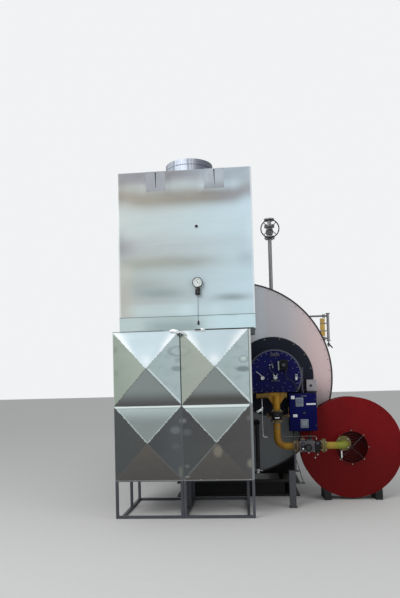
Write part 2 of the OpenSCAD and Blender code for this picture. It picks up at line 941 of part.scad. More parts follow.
// Motor behind the volute, with its ribs, fan cowl and terminal box
module fan_motor() {
    start = fan_back + 6;
    rib_count = 24;
    rib_h = 14;
    rib_t = 6;
    rib_root = 5;
    cowl_len = 90;
    plate = 20;
    plate_lip = 25;
    terminal = [110, 110, 90];
    terminal_sink = 30;
    color(c_steel) {
        y_rod(motor_r + plate_lip, fan_x, fan_z, start, start + plate);
        y_rod(motor_r - rib_h, fan_x, fan_z, start + plate, start + motor_len - cowl_len);
        y_rod(motor_r, fan_x, fan_z, start + motor_len - cowl_len, start + motor_len);
        for (i = [0 : rib_count - 1])
            translate([fan_x, start + plate, fan_z])
                rotate([0, (i + 0.5) * 360 / rib_count, 0])
                    translate([motor_r - rib_h - rib_root, 0, -rib_t / 2])
                        cube([rib_h, motor_len - cowl_len - plate, rib_t]);
        translate([fan_x - terminal[0] / 2, start + 110, fan_z + motor_r - terminal_sink]) cube(terminal);
    }
}

// Feet of the volute on the floor
module fan_feet() {
    foot_w = 90;
    foot_gauge = 660;
    foot_lead = 20;
    foot_tail = 60;
    slot_low = 14;
    slot_high = 60;
    color(c_dark)
        for (side = [-1, 1])
            translate([fan_x + side * foot_gauge / 2, 0, 0])
                difference() {
                    block([-foot_w / 2, fan_y - foot_lead, 0], [foot_w / 2, fan_back + foot_tail, fan_z]);
                    y_rod(fan_r + 12 + seat, -side * foot_gauge / 2, fan_z,
                          fan_y - foot_lead - eps, fan_back + foot_tail + eps);
                    block([-foot_w / 2 - eps, fan_y + 30, slot_low], [foot_w / 2 + eps, fan_back + 10, slot_high]);
                }
}

// Control cabinet
module control_cabinet() {
    wall = 3;
    bracket_h = 40;
    bracket_left = 20;
    bracket_right = 30;
    color(c_blue)
        difference() {
            union() {
                block([cab_x, cab_y, cab_z], [cab_x + cab_w, cab_back, cab_z + cab_h]);
                for (z = [cab_z + 110, cab_z + 330])
                    block([duct_x + bracket_left, cab_back, z], [duct_x + duct_w - bracket_right, duct_y, z + bracket_h]);
            }
            block([cab_x + wall, cab_y - eps, cab_z + wall],
                  [cab_x + cab_w - wall, cab_back - wall, cab_z + cab_h - wall]);
        }
}

module cabinet_door() {
    front = cab_y - door_t;
    // Each plate on the door: left edge and underside from the door's corner, width, height and thickness
    plates = [[81, 318, 98, 113, 8], [137, 40, 100, 112, 6], [217, 336, 120, 20, 5]];
    knob_r = 11;
    knob_len = 22;
    color(c_blue)
        block([cab_x + door_gap, front, cab_z + door_gap],
              [cab_x + cab_w - door_gap, cab_y, cab_z + cab_h - door_gap]);
    color(c_grey) {
        for (plate = plates)
            block([cab_x + plate[0], front - plate[4], cab_z + plate[1]],
                  [cab_x + plate[0] + plate[2], front, cab_z + plate[1] + plate[3]]);
        y_rod(knob_r, cab_x + 187, cab_z + 232, front - knob_len, front);
    }
}

// Gas train

// Straight gas pipe along +Z
module gas_pipe(length) {
    difference() {
        cylinder(d = gas_d, h = length);
        translate([0, 0, -eps]) cylinder(d = gas_bore, h = length + 2 * eps);
    }
}

// Level distribution pipe under the burner head, with its gussets, the box into the head's
// underside and the flanged leg down to the butterfly valve
module gas_manifold() {
    z = manifold_z;
    x = burner_x;
    y = gas_y + 60;
    r = manifold_d / 2;
    ring_w = 16;
    gusset = [120, 110];
    gusset_t = 8;
    box_left = 150;
    box_right = 120;
    box_low = 8;
    color(c_yellow) {
        x_rod(r, y, z, x - manifold_left, x + manifold_right);
        for (end = [x - manifold_left, x + manifold_right - ring_w, x - 76, x + 60])
            x_rod(r + manifold_cap, y, z, end, end + ring_w);
        z_rod(gas_r, x, gas_y, valve_top + gas_flange_t, z);
        z_rod(valve_flange_r, x, gas_y, valve_top, valve_top + gas_flange_t);
        block([x - gas_r, gas_y, z - r], [x + gas_r, y, z]);
        for (side = [-1, 1])
            translate([x, gas_y + gusset_t / 2, z])
                rotate([90, 0, 0])
                    linear_extrude(gusset_t)
                        polygon([[0, 0], [side * gusset[0], 0], [side * gas_r, -gusset[1]], [0, -gusset[1]]]);
        block([x - box_left, y, z - r + box_low], [x + box_right, head_y + 140, z + r + manifold_cap]);
    }
}

// Wafer butterfly valve with its servo motor and linkage
module butterfly_valve() {
    x = burner_x;
    low = valve_top - valve_h;
    body_r = 66;
    servo_left = 50;
    servo_right = 56;
    servo_reach = 84;
    shaft_r = 9;
    shaft_z = low + 62;
    arm_t = 12;
    color(c_dark) {
        z_rod(body_r, x, gas_y, low + gas_flange_t, valve_top);
        block([x - servo_left, gas_y - servo_reach, low + 24], [x + servo_right, gas_y, valve_top - 6]);
    }
    color(c_brass) {
        z_rod(valve_flange_r, x, gas_y, low, low + gas_flange_t);
        x_rod(shaft_r, gas_y, shaft_z, x - 112, x + 150);
        block([x - 118, gas_y - arm_t, low + 40], [x - 118 + arm_t, gas_y + arm_t, low + 92]);
        block([x + 140, gas_y - arm_t, low + 30], [x + 140 + arm_t, gas_y + arm_t, low + 100]);
    }
}

module gas_riser() {
    x = burner_x;
    color(c_yellow) {
        translate([x, gas_y, gas_z + gas_bend]) gas_pipe(valve_top - valve_h - gas_z - gas_bend);
        translate([x + gas_bend, gas_y, gas_z + gas_bend]) bend(gas_bend, gas_d, gas_bore, 180);
        translate([x + gas_bend, gas_y, gas_z])
            rotate([0, 90, 0])
                gas_pipe(gas_block_x - x - gas_bend);
    }
}

// First flange, double valve block with pressure switch, and filter, up to the second flange
module gas_valve_block() {
    x0 = gas_block_x;
    flange_r = gas_flange_d / 2 - 12;
    flange_pair = 57;
    neck_r = gas_flange_d / 2 - 30;
    body_x = x0 + 75;
    body = [189, 140, 136];
    body_low = gas_z - 72;
    cap = [60, 100, 26];
    switch_r = 42;
    switch_len = 30;
    relay = [40, 24, 90];
    filter = [70, 124, 126];
    filter_x = body_x + body[0];
    bowl_r = 30;
    bowl_h = 26;
    stub = 23;
    color(c_brass) {
        x_rod(flange_r, gas_y, gas_z, x0, x0 + flange_pair);
        x_rod(neck_r, gas_y, gas_z, x0 + flange_pair, body_x);
    }
    color(c_grey) {
        translate([body_x, gas_y - body[1] / 2, body_low]) cube(body);
        translate([body_x + 15, gas_y - cap[1] / 2, body_low + body[2]]) cube(cap);
    }
    color(c_dark) {
        y_rod(switch_r, x0 + 186, gas_z - 12, gas_y - body[1] / 2 - switch_len, gas_y - body[1] / 2);
        translate([body_x + 21, gas_y - body[1] / 2 - relay[1], gas_z - 40]) cube(relay);
        translate([filter_x, gas_y - filter[1] / 2, gas_z - 66]) cube(filter);
        z_rod(bowl_r, x0 + 299, gas_y, gas_z - 66 - bowl_h, gas_z - 66);
    }
    color(c_yellow)
        x_rod(gas_r, gas_y, gas_z, filter_x + filter[0], filter_x + filter[0] + stub);
}

// Second flange pair, level pipe, elbow and the flanged inlet stub behind it
module gas_inlet() {
    x0 = gas_block_x + 357;
    x1 = gas_end + gas_run;
    pair = gas_flange_t + 3;
    stub = 120;
    color(c_yellow) {
        difference() {
            translate([x0, gas_y, gas_z])
                rotate([0, 90, 0])
                    union() {
                        cylinder(d = gas_d, h = x1 - x0);
                        for (z = [0, pair])
                            translate([0, 0, z])
                                flange(gas_flange_d - 20, gas_flange_t, gas_bore, gas_pcd - 10, 4, gas_hole_d, 45);
                    }
            x_rod(gas_bore / 2, gas_y, gas_z, x0 - eps, x1 + eps);
        }
        translate([x1, gas_y + gas_bend, gas_z])
            rotate([90, 0, 0])
                bend(gas_bend, gas_d, gas_bore, 0);
        difference() {
            translate([x1 + gas_bend, gas_y + gas_bend, gas_z])
                rotate([-90, 0, 0])
                    union() {
                        cylinder(d = gas_d, h = stub);
                        translate([0, 0, stub - gas_flange_t])
                            flange(gas_flange_d, gas_flange_t, gas_bore, gas_pcd, 4, gas_hole_d, 45);
                    }
            y_rod(gas_bore / 2, x1 + gas_bend, gas_z, gas_y, gas_y + gas_bend + stub + eps);
        }
    }
}

// Stand that carries the valve block
module gas_stand() {
    x = gas_block_x - 21;
    base = [100, 110, 10];
    post = [80, 80, 447];
    post_top = base[2] + post[2];
    rod_r = 14;
    rod_x = x + 44;
    rod_top = gas_z - gas_flange_d / 2 + 12 - seat;
    head_t = 16;
    brace_t = 16;
    foot_z = 300;
    color(c_grey) {
        translate([x - base[0] / 2, gas_y - base[1] / 2, 0]) cube(base);
        translate([x - post[0] / 2, gas_y - post[1] / 2, base[2]]) cube(post);
        z_rod(rod_r, rod_x, gas_y, post_top, rod_top);
        block([x + 4, gas_y - 30, post_top - head_t], [rod_x + 40, gas_y + 30, post_top]);
        hull() {
            block([rod_x + 6, gas_y - brace_t / 2, 590], [rod_x + 16, gas_y + brace_t / 2, 600]);
            block([rod_x + 86, gas_y - brace_t / 2, foot_z], [rod_x + 96, gas_y + brace_t / 2, foot_z + 10]);
        }
        block([x + post[0] / 2, gas_y - 10, foot_z - 10], [rod_x + 112, gas_y + 10, foot_z + 10]);
    }
}

// Thin impulse line from the manifold down and along to the filter
module impulse_line() {
    line_r = 6;
    x = burner_x - 179;
    y = gas_y + 60;
    z = gas_z + 112;
    end_x = gas_block_x + 299;
    cock_r = 16;
    cock_low = gas_z + 440;
    handle_gap = 10;
    cock_h = 60;
    handle = [70, 14, 30];
    color(c_galv) {
        z_rod(line_r, x, y, z, manifold_z - manifold_d / 2 - manifold_cap - seat);
        z_rod(cock_r, x, y, cock_low, cock_low + cock_h);
        translate([x, y - cock_r, cock_low + cock_h / 2])
            rotate([0, -28, 0]) {
                translate([-handle_gap - handle[0], -handle[1] / 2, -handle[2] / 2]) cube(handle);
                x_rod(line_r, 0, 0, -handle_gap - handle[0] / 2, 0);
            }
        x_rod(line_r, y, z, x, end_x);
        translate([x, y, z]) sphere(r = line_r);
        translate([end_x, y, z]) sphere(r = line_r);
        z_rod(line_r, end_x, y, gas_z + 60, z);
    }
}

// Dark drain pipe down the boiler's front, with a pale cock at its foot
module drain_pipe() {
    x = drain_x;
    y = -175;
    top = burner_z - plate_r - 83;
    collar_r = drain_r + 17;
    collar_t = 10;
    cock_r = 20;
    cock_h = 60;
    cock_top = 400;
    color(c_dark) {
        z_rod(drain_r, x, y, cock_top, top);
        translate([x, y, top]) sphere(r = drain_r);
        y_rod(drain_r, x, top, y, 0);
        y_rod(collar_r, x, top, -collar_t, 0);
    }
    color(c_galv) {
        z_rod(cock_r, x, y, cock_top - cock_h, cock_top);
        x_rod(8, y, cock_top - 28, x, x + 60);
    }
}

// Flue gas casing

// Insulated panel whose face is a low pyramid, standing on y = 0 with its back at y = depth.
// strip is a flat strip added along its right edge.
module pyramid_panel(w, h, rise, depth, rim, strip = 0) {
    base = [[rim, 0, rim], [w - rim, 0, rim], [w - rim, 0, h - rim], [rim, 0, h - rim]];
    inner = [for (p = base) [p[0], depth / 2, p[2]]];
    apex = [[w / 2, -rise, h / 2]];
    union() {
        cube([w + strip, depth, h]);
        polyhedron(
            points = concat(base, inner, apex),
            faces = [
                [1, 0, 8], [2, 1, 8], [3, 2, 8], [0, 3, 8],
                [4, 5, 6, 7],
                [0, 1, 5, 4], [1, 2, 6, 5], [2, 3, 7, 6], [3, 0, 4, 7]
            ]
        );
    }
}

module front_panel(x0, z0, strip = 0) {
    color(c_galv)
        translate([x0, casing_y, z0])
            pyramid_panel(panel_w, lower_h / 2 - panel_gap / 2, pyramid_rise, casing_t, panel_rim, strip);
}

module panel_top_left() {
    front_panel(casing_x, lower_mid + panel_gap / 2);
}

module panel_top_right() {
    front_panel(seam_x + panel_gap / 2, lower_mid + panel_gap / 2, panel_strip);
}

module panel_bottom_left() {
    front_panel(casing_x, leg_h);
}

module panel_bottom_right() {
    front_panel(seam_x + panel_gap / 2, leg_h, panel_strip);
}

module lower_side_walls() {
    depth = casing_d - 2 * casing_t;
    h = lower_h / 2 - panel_gap / 2;
    color(c_galv)
        for (z = [leg_h, lower_mid + panel_gap / 2]) {
            translate([body_x + break_rise, casing_back - casing_t, z])
                rotate([0, 0, -90])
                    pyramid_panel(depth, h, break_rise, casing_t - break_rise, panel_rim);
            translate([body_right - break_rise, casing_y + casing_t, z])
                rotate([0, 0, 90])
                    pyramid_panel(depth, h, break_rise, casing_t - break_rise, panel_rim);
        }
}

module lower_rear_wall() {
    color(c_galv)
        difference() {
            block([body_x, casing_back - casing_t, leg_h], [body_right, casing_back, lower_top]);
            flue_opening(casing_back - casing_t - eps, casing_back + eps);
        }
}

module casing_floor() {
    color(c_galv)
        block([body_x + casing_t, casing_y + casing_t, leg_h],
              [body_right - casing_t, casing_back - casing_t, leg_h + 40]);
}

// Deck between the two casings, with the gas passage through it
module casing_deck() {
    passage_in = 100;
    color(c_galv)
        difference() {
            block([casing_x, casing_y, lower_top], [upper_right, casing_back, lower_top + deck_t]);
            block([upper_x + passage_in, casing_y + passage_in, lower_top - eps],
                  [body_right - passage_in, casing_back - passage_in, lower_top + deck_t + eps]);
        }
}

// Square post or foot rail of the leg frames, from its lowest corner
module tube(low, size) {
    translate(low) cube([max(size[0], leg_w), max(size[1], leg_w), max(size[2], leg_w)]);
}

// Flat rail of the leg frames between two corners, right under the casing
module rail(low, high) {
    block([low[0], low[1], leg_h - rail_t], [high[0], high[1], leg_h]);
}

// Welded frame of one bay. Its outer front post stands under the panels' outer edge, and the middle
// and rear posts stand in under the body. side is -1 for the left bay and 1 for the right one.
module leg_frame(side) {
    outer = side < 0 ? casing_x : casing_right - leg_w;
    inner = side < 0 ? seam_x - panel_gap / 2 - leg_w : seam_x + panel_gap / 2;
    body_post = side < 0 ? body_x : body_right - leg_w;
    x0 = min(outer, inner);
    back_x0 = min(body_post, inner);
    span = abs(outer - inner) + leg_w;
    back_span = abs(body_post - inner) + leg_w;
    middle = casing_y + casing_d / 2 - leg_w / 2;
    rear = casing_back - leg_w;
    color(c_steel) {
        for (x = [outer, inner])
            tube([x, casing_y, 0], [0, 0, leg_h]);
        for (y = [middle, rear])
            for (x = [body_post, inner])
                tube([x, y, 0], [0, 0, leg_h]);
        tube([x0, casing_y, 0], [span, 0, 0]);
        tube([back_x0, rear, 0], [back_span, 0, 0]);
        rail([x0, casing_y], [x0 + span, casing_y + leg_w]);
        rail([back_x0, rear], [back_x0 + back_span, rear + leg_w]);
        for (x = [body_post, inner]) {
            tube([x, casing_y, 0], [0, casing_d, 0]);
            rail([x, casing_y], [x + leg_w, casing_back]);
        }
    }
}

module leg_frame_left() {
    leg_frame(-1);
}

module leg_frame_right() {
    leg_frame(1);
}

// Upper casing
module upper_front_wall() {
    color(c_galv)
        difference() {
            block([upper_x, casing_y, upper_z + band_h], [upper_right, casing_y + casing_t, upper_top]);
            for (x = [slot_left, slot_right])
                block([upper_x + x - slot_w / 2, casing_y - eps, upper_top - slot_h],
                      [upper_x + x + slot_w / 2, casing_y + casing_t / 2, upper_top + eps]);
        }
}

module upper_side_walls() {
    color(c_galv)
        for (x = [upper_x, upper_right - casing_t])
            block([x, casing_y + casing_t, upper_z + band_h], [x + casing_t, casing_back - casing_t, upper_top - casing_t]);
}

module upper_rear_wall() {
    color(c_galv)
        block([upper_x, casing_back - casing_t, upper_z + band_h], [upper_right, casing_back, upper_top]);
}

module upper_roof() {
    color(c_galv)
        difference() {
            block([upper_x, casing_y + casing_t, upper_top - casing_t], [upper_right, casing_back - casing_t, upper_top]);
            z_rod(spigot_r + 10, upper_x + spigot_x, casing_y + spigot_y, upper_top - casing_t - eps, upper_top + eps);
        }
}

// Band round the foot of the upper casing
module base_band() {
    color(c_galv)
        difference() {
            block([upper_x, casing_y, upper_z], [upper_right, casing_back, upper_z + band_h]);
            block([upper_x + casing_t, casing_y + casing_t, upper_z - eps],
                  [upper_right - casing_t, casing_back - casing_t, upper_z + band_h + eps]);
        }
}

// Thin cover sheets over the slots' lower ends
module slot_covers() {
    cover_t = 2;
    cover_drop = 40;
    color(c_galv)
        for (x = [slot_left, slot_right])
            difference() {
                block([upper_x + x - slot_cover_w / 2, casing_y - cover_t, upper_top - slot_h - cover_drop],
                      [upper_x + x + slot_cover_w / 2, casing_y, upper_top]);
                block([upper_x + x - slot_w / 2, casing_y - cover_t - eps, upper_top - slot_h],
                      [upper_x + x + slot_w / 2, casing_y + eps, upper_top + eps]);
            }
}

// Round spigot that the flue slides over
module flue_spigot() {
    foot_w = 35;
    foot_t = 4;
    bead_r = 7;
    bead_z = spigot_h * 0.7;
    inside = spigot_r - spigot_t;
    color(c_galv)
        translate([upper_x + spigot_x, casing_y + spigot_y, upper_top])
            rotate_extrude($fn = 128)
                difference() {
                    union() {
                        translate([inside, 0]) square([spigot_t, spigot_h]);
                        translate([inside, 0]) square([spigot_t + foot_w, foot_t]);
                        translate([spigot_r, bead_z]) circle(r = bead_r, $fn = 24);
                    }
                    translate([0, -eps]) square([inside, spigot_h + 2 * eps]);
                }
}

// Dial thermometer on its stem block
module thermometer() {
    x = upper_x + dial_x;
    case_gap = 12;
    case_t = 30;
    stem_r = 12;
    stem_block = [40, 40, 95];
    overlap = 10;
    color(c_dark) {
        y_rod(dial_r, x, dial_z, casing_y - case_gap - case_t, casing_y - case_gap);
        translate([x - stem_block[0] / 2, casing_y - stem_block[1], dial_z - dial_r + overlap - stem_block[2]])
            cube(stem_block);
    }
    color(c_brass)
        y_rod(stem_r, x, dial_z, casing_y - case_gap, casing_y);
}

shell();
front_plate();
rear_plate();
front_trim();
rear_trim();
rear_door();
saddles();
skid_beams();
cross_beams();
flue_duct();
main_steam_nozzle();
steam_riser();
handwheel();
safety_valve();
manhole();
level_gauge();
feed_nozzle();
blowdown_valve();
burner_plate();
burner_head();
burner_rim();
burner_fittings();
ignition_box();
air_duct();
fan_volute();
fan_motor();
fan_feet();
control_cabinet();
cabinet_door();
gas_manifold();
butterfly_valve();
gas_riser();
gas_valve_block();
gas_inlet();
gas_stand();
impulse_line();
drain_pipe();
panel_top_left();
panel_top_right();
panel_bottom_left();
panel_bottom_right();
lower_side_walls();
lower_rear_wall();
casing_floor();
casing_deck();
leg_frame_left();
leg_frame_right();
upper_front_wall();
upper_side_walls();
upper_rear_wall();
upper_roof();
base_band();
slot_covers();
flue_spigot();
thermometer();
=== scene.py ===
"""Looks of a horizontal shell boiler with its gas burner and flue gas casing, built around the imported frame."""

import math

import bmesh
import bpy
import numpy as np
from bpy.props import FloatProperty, FloatVectorProperty, IntProperty, PointerProperty
from mathutils import Matrix, Vector, noise


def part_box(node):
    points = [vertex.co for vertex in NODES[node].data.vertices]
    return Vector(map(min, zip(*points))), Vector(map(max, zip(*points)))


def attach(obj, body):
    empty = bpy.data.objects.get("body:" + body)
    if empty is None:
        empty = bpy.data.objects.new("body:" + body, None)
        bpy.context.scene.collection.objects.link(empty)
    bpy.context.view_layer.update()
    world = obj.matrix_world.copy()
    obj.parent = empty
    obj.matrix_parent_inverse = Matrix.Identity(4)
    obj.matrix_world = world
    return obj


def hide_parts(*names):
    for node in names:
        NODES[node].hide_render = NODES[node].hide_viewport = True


bl_info = {
    "name": "Industrial Boiler Looks",
    "version": (1, 0, 0),
    "blender": (4, 5, 0),
    "location": "View3D > Sidebar > Boiler",
    "description": "Dresses the boiler, its burner, gas train and flue gas casing, and sets the stage",
    "category": "Add Mesh",
}

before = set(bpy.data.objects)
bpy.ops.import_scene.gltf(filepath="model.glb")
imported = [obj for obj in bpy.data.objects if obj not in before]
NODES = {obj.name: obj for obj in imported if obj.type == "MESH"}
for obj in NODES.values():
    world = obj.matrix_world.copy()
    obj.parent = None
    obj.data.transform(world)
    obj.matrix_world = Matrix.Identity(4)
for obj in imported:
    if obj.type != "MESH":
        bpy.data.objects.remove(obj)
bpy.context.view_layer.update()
BODY = "root"

# The photograph's viewpoint in the row frame: place in metres, turns in radians, lens in picture heights
EYE = Vector((0.184, -7.881, 1.6))
YAW = -0.0851365
PITCH = 0.0394546
ROLL = 0.025746
FOCAL = 557.966 / 598.0
RISE = (359.904 - 299.0) / 598.0
SENSOR = 36.0

# Places that the CAD model gives, in metres
SHELL_R = 1.35
SHELL_Z = 1.645
SHELL_LEN = 5.5
RISER = (0.594, 1.1, 3.986)
SAFETY_Y = 3.4
MANHOLE_Y = 4.25
SADDLE_YS = (0.7, 2.75, 4.8)
BURNER = Vector((0.531, 0.0, 1.648))
PLATE_R = 0.555
PLATE_Y = -0.05
HEAD_R = 0.357
HEAD_Y = -0.48
HEAD_CUT = 0.212
RIM_W = 0.02
FAN = Vector((1.52, 0.0, 0.69))
FAN_R = 0.65
FAN_Y = -0.33
CABINET = (0.707, 1.057, 0.933, 1.416)
CABINET_Y = -0.56
GAS_Y = -0.74
GAS_Z = 0.764
BLOCK_X = 0.723
CASING_X = -1.426
CASING_W = 1.654
CASING_Y = -1.3
CASING_BACK = -0.25
LEG_H = 0.443
LEG_W = 0.032
LOWER_TOP = 2.217
UPPER_X = -1.337
UPPER_RIGHT = 0.29
UPPER_Z = 2.225
BAND_TOP = 2.391
UPPER_TOP = 4.153
WALL = 0.06
SEAM_X = -0.612
SLOTS = (-0.861, -0.154)
SLOT_W = 0.014
SLOT_H = 0.2
COVER_HALF = 0.118
COVER_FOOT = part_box("slot_covers")[0].z


def lin(red, green, blue):
    """Linear colour of an sRGB one given in 0 to 255."""
    steps = []
    for value in (red, green, blue):
        c = value / 255.0
        steps.append(c / 12.92 if c <= 0.04045 else ((c + 0.055) / 1.055) ** 2.4)
    return tuple(steps)


def mixed(a, b, share):
    """Colour between a and b."""
    return tuple(p + (q - p) * share for p, q in zip(a, b))


def brighter(colour, share):
    """The colour with its light raised by this share."""
    return tuple(min(1.0, value * (1 + share)) for value in colour)


def smooth(low, high, value):
    """Smooth step from 0 at low to 1 at high."""
    t = min(1.0, max(0.0, (value - low) / (high - low)))
    return t * t * (3 - 2 * t)


# Sections of small screw and rivet heads, as (radius, height) pairs
SCREW_HEAD = [(0.006, 0), (0.006, 0.002), (0.003, 0.0036)]
COVER_SCREW = [(0.0074, 0), (0.0074, 0.005), (0.005, 0.0065)]
SMALL_SCREW = [(0.0064, 0), (0.0064, 0.004), (0.0045, 0.0055)]
RIVET = [(0.004, 0), (0.004, 0.0015), (0.002, 0.003)]

# Shader graphs


class Sock:
    """A shader socket that takes part in Python expressions."""

    def __init__(self, graph, socket):
        self.graph = graph
        self.socket = socket

    def _math(self, operation, a, b):
        return self.graph.add("ShaderNodeMath", {"operation": operation}, (a, b))

    def __add__(self, other):
        return self._math("ADD", self, other)

    def __radd__(self, other):
        return self._math("ADD", other, self)

    def __sub__(self, other):
        return self._math("SUBTRACT", self, other)

    def __rsub__(self, other):
        return self._math("SUBTRACT", other, self)

    def __mul__(self, other):
        return self._math("MULTIPLY", self, other)

    def __rmul__(self, other):
        return self._math("MULTIPLY", other, self)


class Graph:
    """A material's node tree, read in Object coordinates."""

    def __init__(self, name):
        self.material = bpy.data.materials.new(name)
        self.material.use_nodes = True
        self.tree = self.material.node_tree
        self.tree.nodes.clear()
        self.place = self.add("ShaderNodeTexCoord", {}, output="Object")
        self.tone = None

    def add(self, kind, settings, values=(), output=0):
        """Adds a node: its settings first, then the values or links of its sockets."""
        node = self.tree.nodes.new(kind)
        for name, value in settings.items():
            setattr(node, name, value)
        pairs = values.items() if isinstance(values, dict) else enumerate(values)
        for key, value in pairs:
            socket = node.inputs[key]
            if isinstance(value, Sock):
                self.tree.links.new(value.socket, socket)
            else:
                socket.default_value = value
        return Sock(self, node.outputs[output]) if node.outputs else node

    def axis(self, index):
        """One coordinate of the place on the object."""
        return self.add("ShaderNodeSeparateXYZ", {}, (self.place,), output=index)

    def facing(self, index):
        """One component of the surface's normal."""
        normal = self.add("ShaderNodeNewGeometry", {}, output="Normal")
        return self.add("ShaderNodeSeparateXYZ", {}, (normal,), output=index)

    def cloud(self, scale, detail=3.0, rough=0.5, stretch=(1.0, 1.0, 1.0)):
        """Soft noise from 0 to 1, its grain stretched along the axes."""
        where = self.add("ShaderNodeMapping", {}, {"Vector": self.place, "Scale": stretch})
        values = {"Vector": where, "Scale": scale, "Detail": detail, "Roughness": rough}
        return self.add("ShaderNodeTexNoise", {}, values)

    def step(self, value, low, high):
        """Smooth step of a value between two limits."""
        values = {"Value": value, "From Min": low, "From Max": high}
        return self.add("ShaderNodeMapRange", {"interpolation_type": "SMOOTHSTEP"}, values)

    def unsigned(self, value):
        """The value without its sign."""
        return self.add("ShaderNodeMath", {"operation": "ABSOLUTE"}, (value,))

    def blend(self, share, a, b):
        """Mixes two colours, each a 3-number colour or a socket."""
        a = a if isinstance(a, Sock) else (*a, 1.0)
        b = b if isinstance(b, Sock) else (*b, 1.0)
        return self.add("ShaderNodeMix", {"data_type": "RGBA"}, {0: share, 6: a, 7: b}, output=2)

    def coat(self, share, colour):
        """Lays a colour over the tone so far, where share says."""
        self.tone = self.blend(share, self.tone, colour)

    def surface(self, rough, height=None, depth=0.0, strength=1.0, metal=0.0, shine=0.5, **more):
        """Ends the graph in a Principled shader of its tone, with a bump of this height, depth metres at 1."""
        values = {"Base Color": self.tone, "Roughness": rough, "Metallic": metal, "Specular IOR Level": shine}
        if height is not None:
            values["Normal"] = self.add(
                "ShaderNodeBump", {}, {"Height": height, "Distance": depth, "Strength": strength}
            )
        values.update((key.replace("_", " "), value) for key, value in more.items())
        shader = self.add("ShaderNodeBsdfPrincipled", {}, values)
        self.add("ShaderNodeOutputMaterial", {}, {"Surface": shader})
        return self.material


BLACK = (0.0, 0.0, 0.0)
WHITE = (1.0, 1.0, 1.0)
DOWNWARDS = (1.0, 1.0, 0.12)


def chosen(name):
    """A colour that the user may set."""
    return tuple(getattr(bpy.context.scene.boiler_looks, name))


def paint(name, colour, rough=0.42, dust=0.25, grime=0.35, peel=0.0004, low=None, dim=0.55, metal=0.0, shine=0.5):
    """Painted metal with settled dust, grime in patches and a fine orange peel.

    low gives the heights between which a painted shade at the foot gives way to the paint's full tone, and dim how
    deep that shade is."""
    g = Graph(name)
    patches = g.cloud(2.3, 4.0, 0.6)
    fine = g.cloud(38.0, 3.0, 0.6)
    streaks = g.cloud(9.0, 3.0, 0.6, DOWNWARDS)
    g.tone = g.blend(g.step(patches, 0.32, 0.7), mixed(colour, BLACK, 0.16), brighter(colour, 0.08))
    dirt = g.step(streaks * 0.6 + fine * 0.4, 0.52, 0.74) * grime
    g.coat(dirt, mixed(colour, lin(58, 52, 46), 0.75))
    settled = g.step(g.facing(2), 0.35, 0.95) * (0.45 + fine * 0.55) * dust
    g.coat(settled, lin(150, 143, 134))
    # painted shade towards the floor, below the heights in low
    if low:
        g.coat(1 - g.step(g.axis(2) + patches * 0.12, low[0], low[1]), mixed(colour, BLACK, dim))
    gloss = rough - 0.08 + fine * 0.16 + settled * 0.3
    return g.surface(gloss, fine + patches * 0.6, peel, metal=metal, shine=shine)


def metal(name, colour, rough=0.32, brush=(1.0, 1.0, 14.0), stain=0.25, tarnish=(70, 66, 60)):
    """Bare metal, drawn or brushed along one way, with a few tarnished places."""
    g = Graph(name)
    grain = g.cloud(60.0, 3.0, 0.65, brush)
    patches = g.cloud(6.0, 4.0, 0.6)
    g.tone = g.blend(grain, mixed(colour, BLACK, 0.18), brighter(colour, 0.15))
    spots = g.step(patches, 0.52, 0.72) * stain
    g.coat(spots, lin(*tarnish))
    return g.surface(rough - 0.07 + grain * 0.14 + spots * 0.4, grain, 0.0002, metal=1.0 - spots * 0.6)


def casting(name, colour, rough=0.55):
    """Sand-cast iron or alloy under paint, with its grain and a rubbed sheen on the high parts."""
    g = Graph(name)
    grain = g.cloud(210.0, 2.0, 0.6)
    lumps = g.cloud(28.0, 3.0, 0.6)
    g.tone = g.blend(lumps, mixed(colour, BLACK, 0.22), brighter(colour, 0.15))
    oily = g.step(g.cloud(11.0, 3.0), 0.55, 0.72)
    g.coat(oily * 0.4, mixed(colour, lin(48, 38, 28), 0.8))
    return g.surface(rough - oily * 0.2 + grain * 0.1, grain * 0.5 + lumps, 0.0009, metal=0.15)


def cladding():
    """Thin painted sheet over the insulation: faint bluish and pinkish swells, painted shade towards the floor."""
    g = Graph("cladding sheet")
    base = chosen("cladding")
    waves = g.cloud(1.1, 2.0, 0.5, (1.0, 0.6, 0.35))
    fine = g.cloud(46.0, 3.0, 0.6)
    streaks = g.cloud(5.0, 4.0, 0.6, (1.0, 1.0, 0.1))
    cool, warm = mixed(base, lin(186, 186, 190), 0.35), mixed(base, lin(222, 214, 216), 0.35)
    g.tone = g.blend(g.step(waves, 0.3, 0.7), cool, warm)
    # pinkish towards the right and a bluish band beside it, on the front plate above all
    right = g.step(g.axis(0) + waves * 0.2 - g.axis(2) * 0.12, 0.42, 1.05)
    front = 1 - g.step(g.axis(1), 0.02, 0.6)
    g.coat(right * (0.2 + front * 0.65), lin(228, 199, 199))
    band = g.step(g.axis(0), 0.24, 0.33) * (1 - g.step(g.axis(0), 0.38, 0.5))
    g.coat(band * front * 0.5, lin(214, 226, 238))
    g.coat(g.step(streaks, 0.55, 0.8) * 0.2, lin(150, 146, 146))
    # painted shade towards the floor, deeper on the right where the fan and duct shade the shell, and dust on what
    # faces up
    height = g.axis(2) + streaks * 0.2 - right * 0.08
    g.coat(1 - g.step(height, 1.0, 1.75), mixed(base, lin(100, 107, 110), 0.85))
    g.coat(1 - g.step(height, 0.42, 0.95), lin(106, 111, 115))
    dusty = g.step(g.facing(2), 0.4, 0.95) * (0.3 + fine * 0.5)
    g.coat(dusty, lin(168, 163, 156))
    return g.surface(0.42 + fine * 0.1 + dusty * 0.2, waves + fine * 0.02, 0.01, 0.5, metal=0.15)


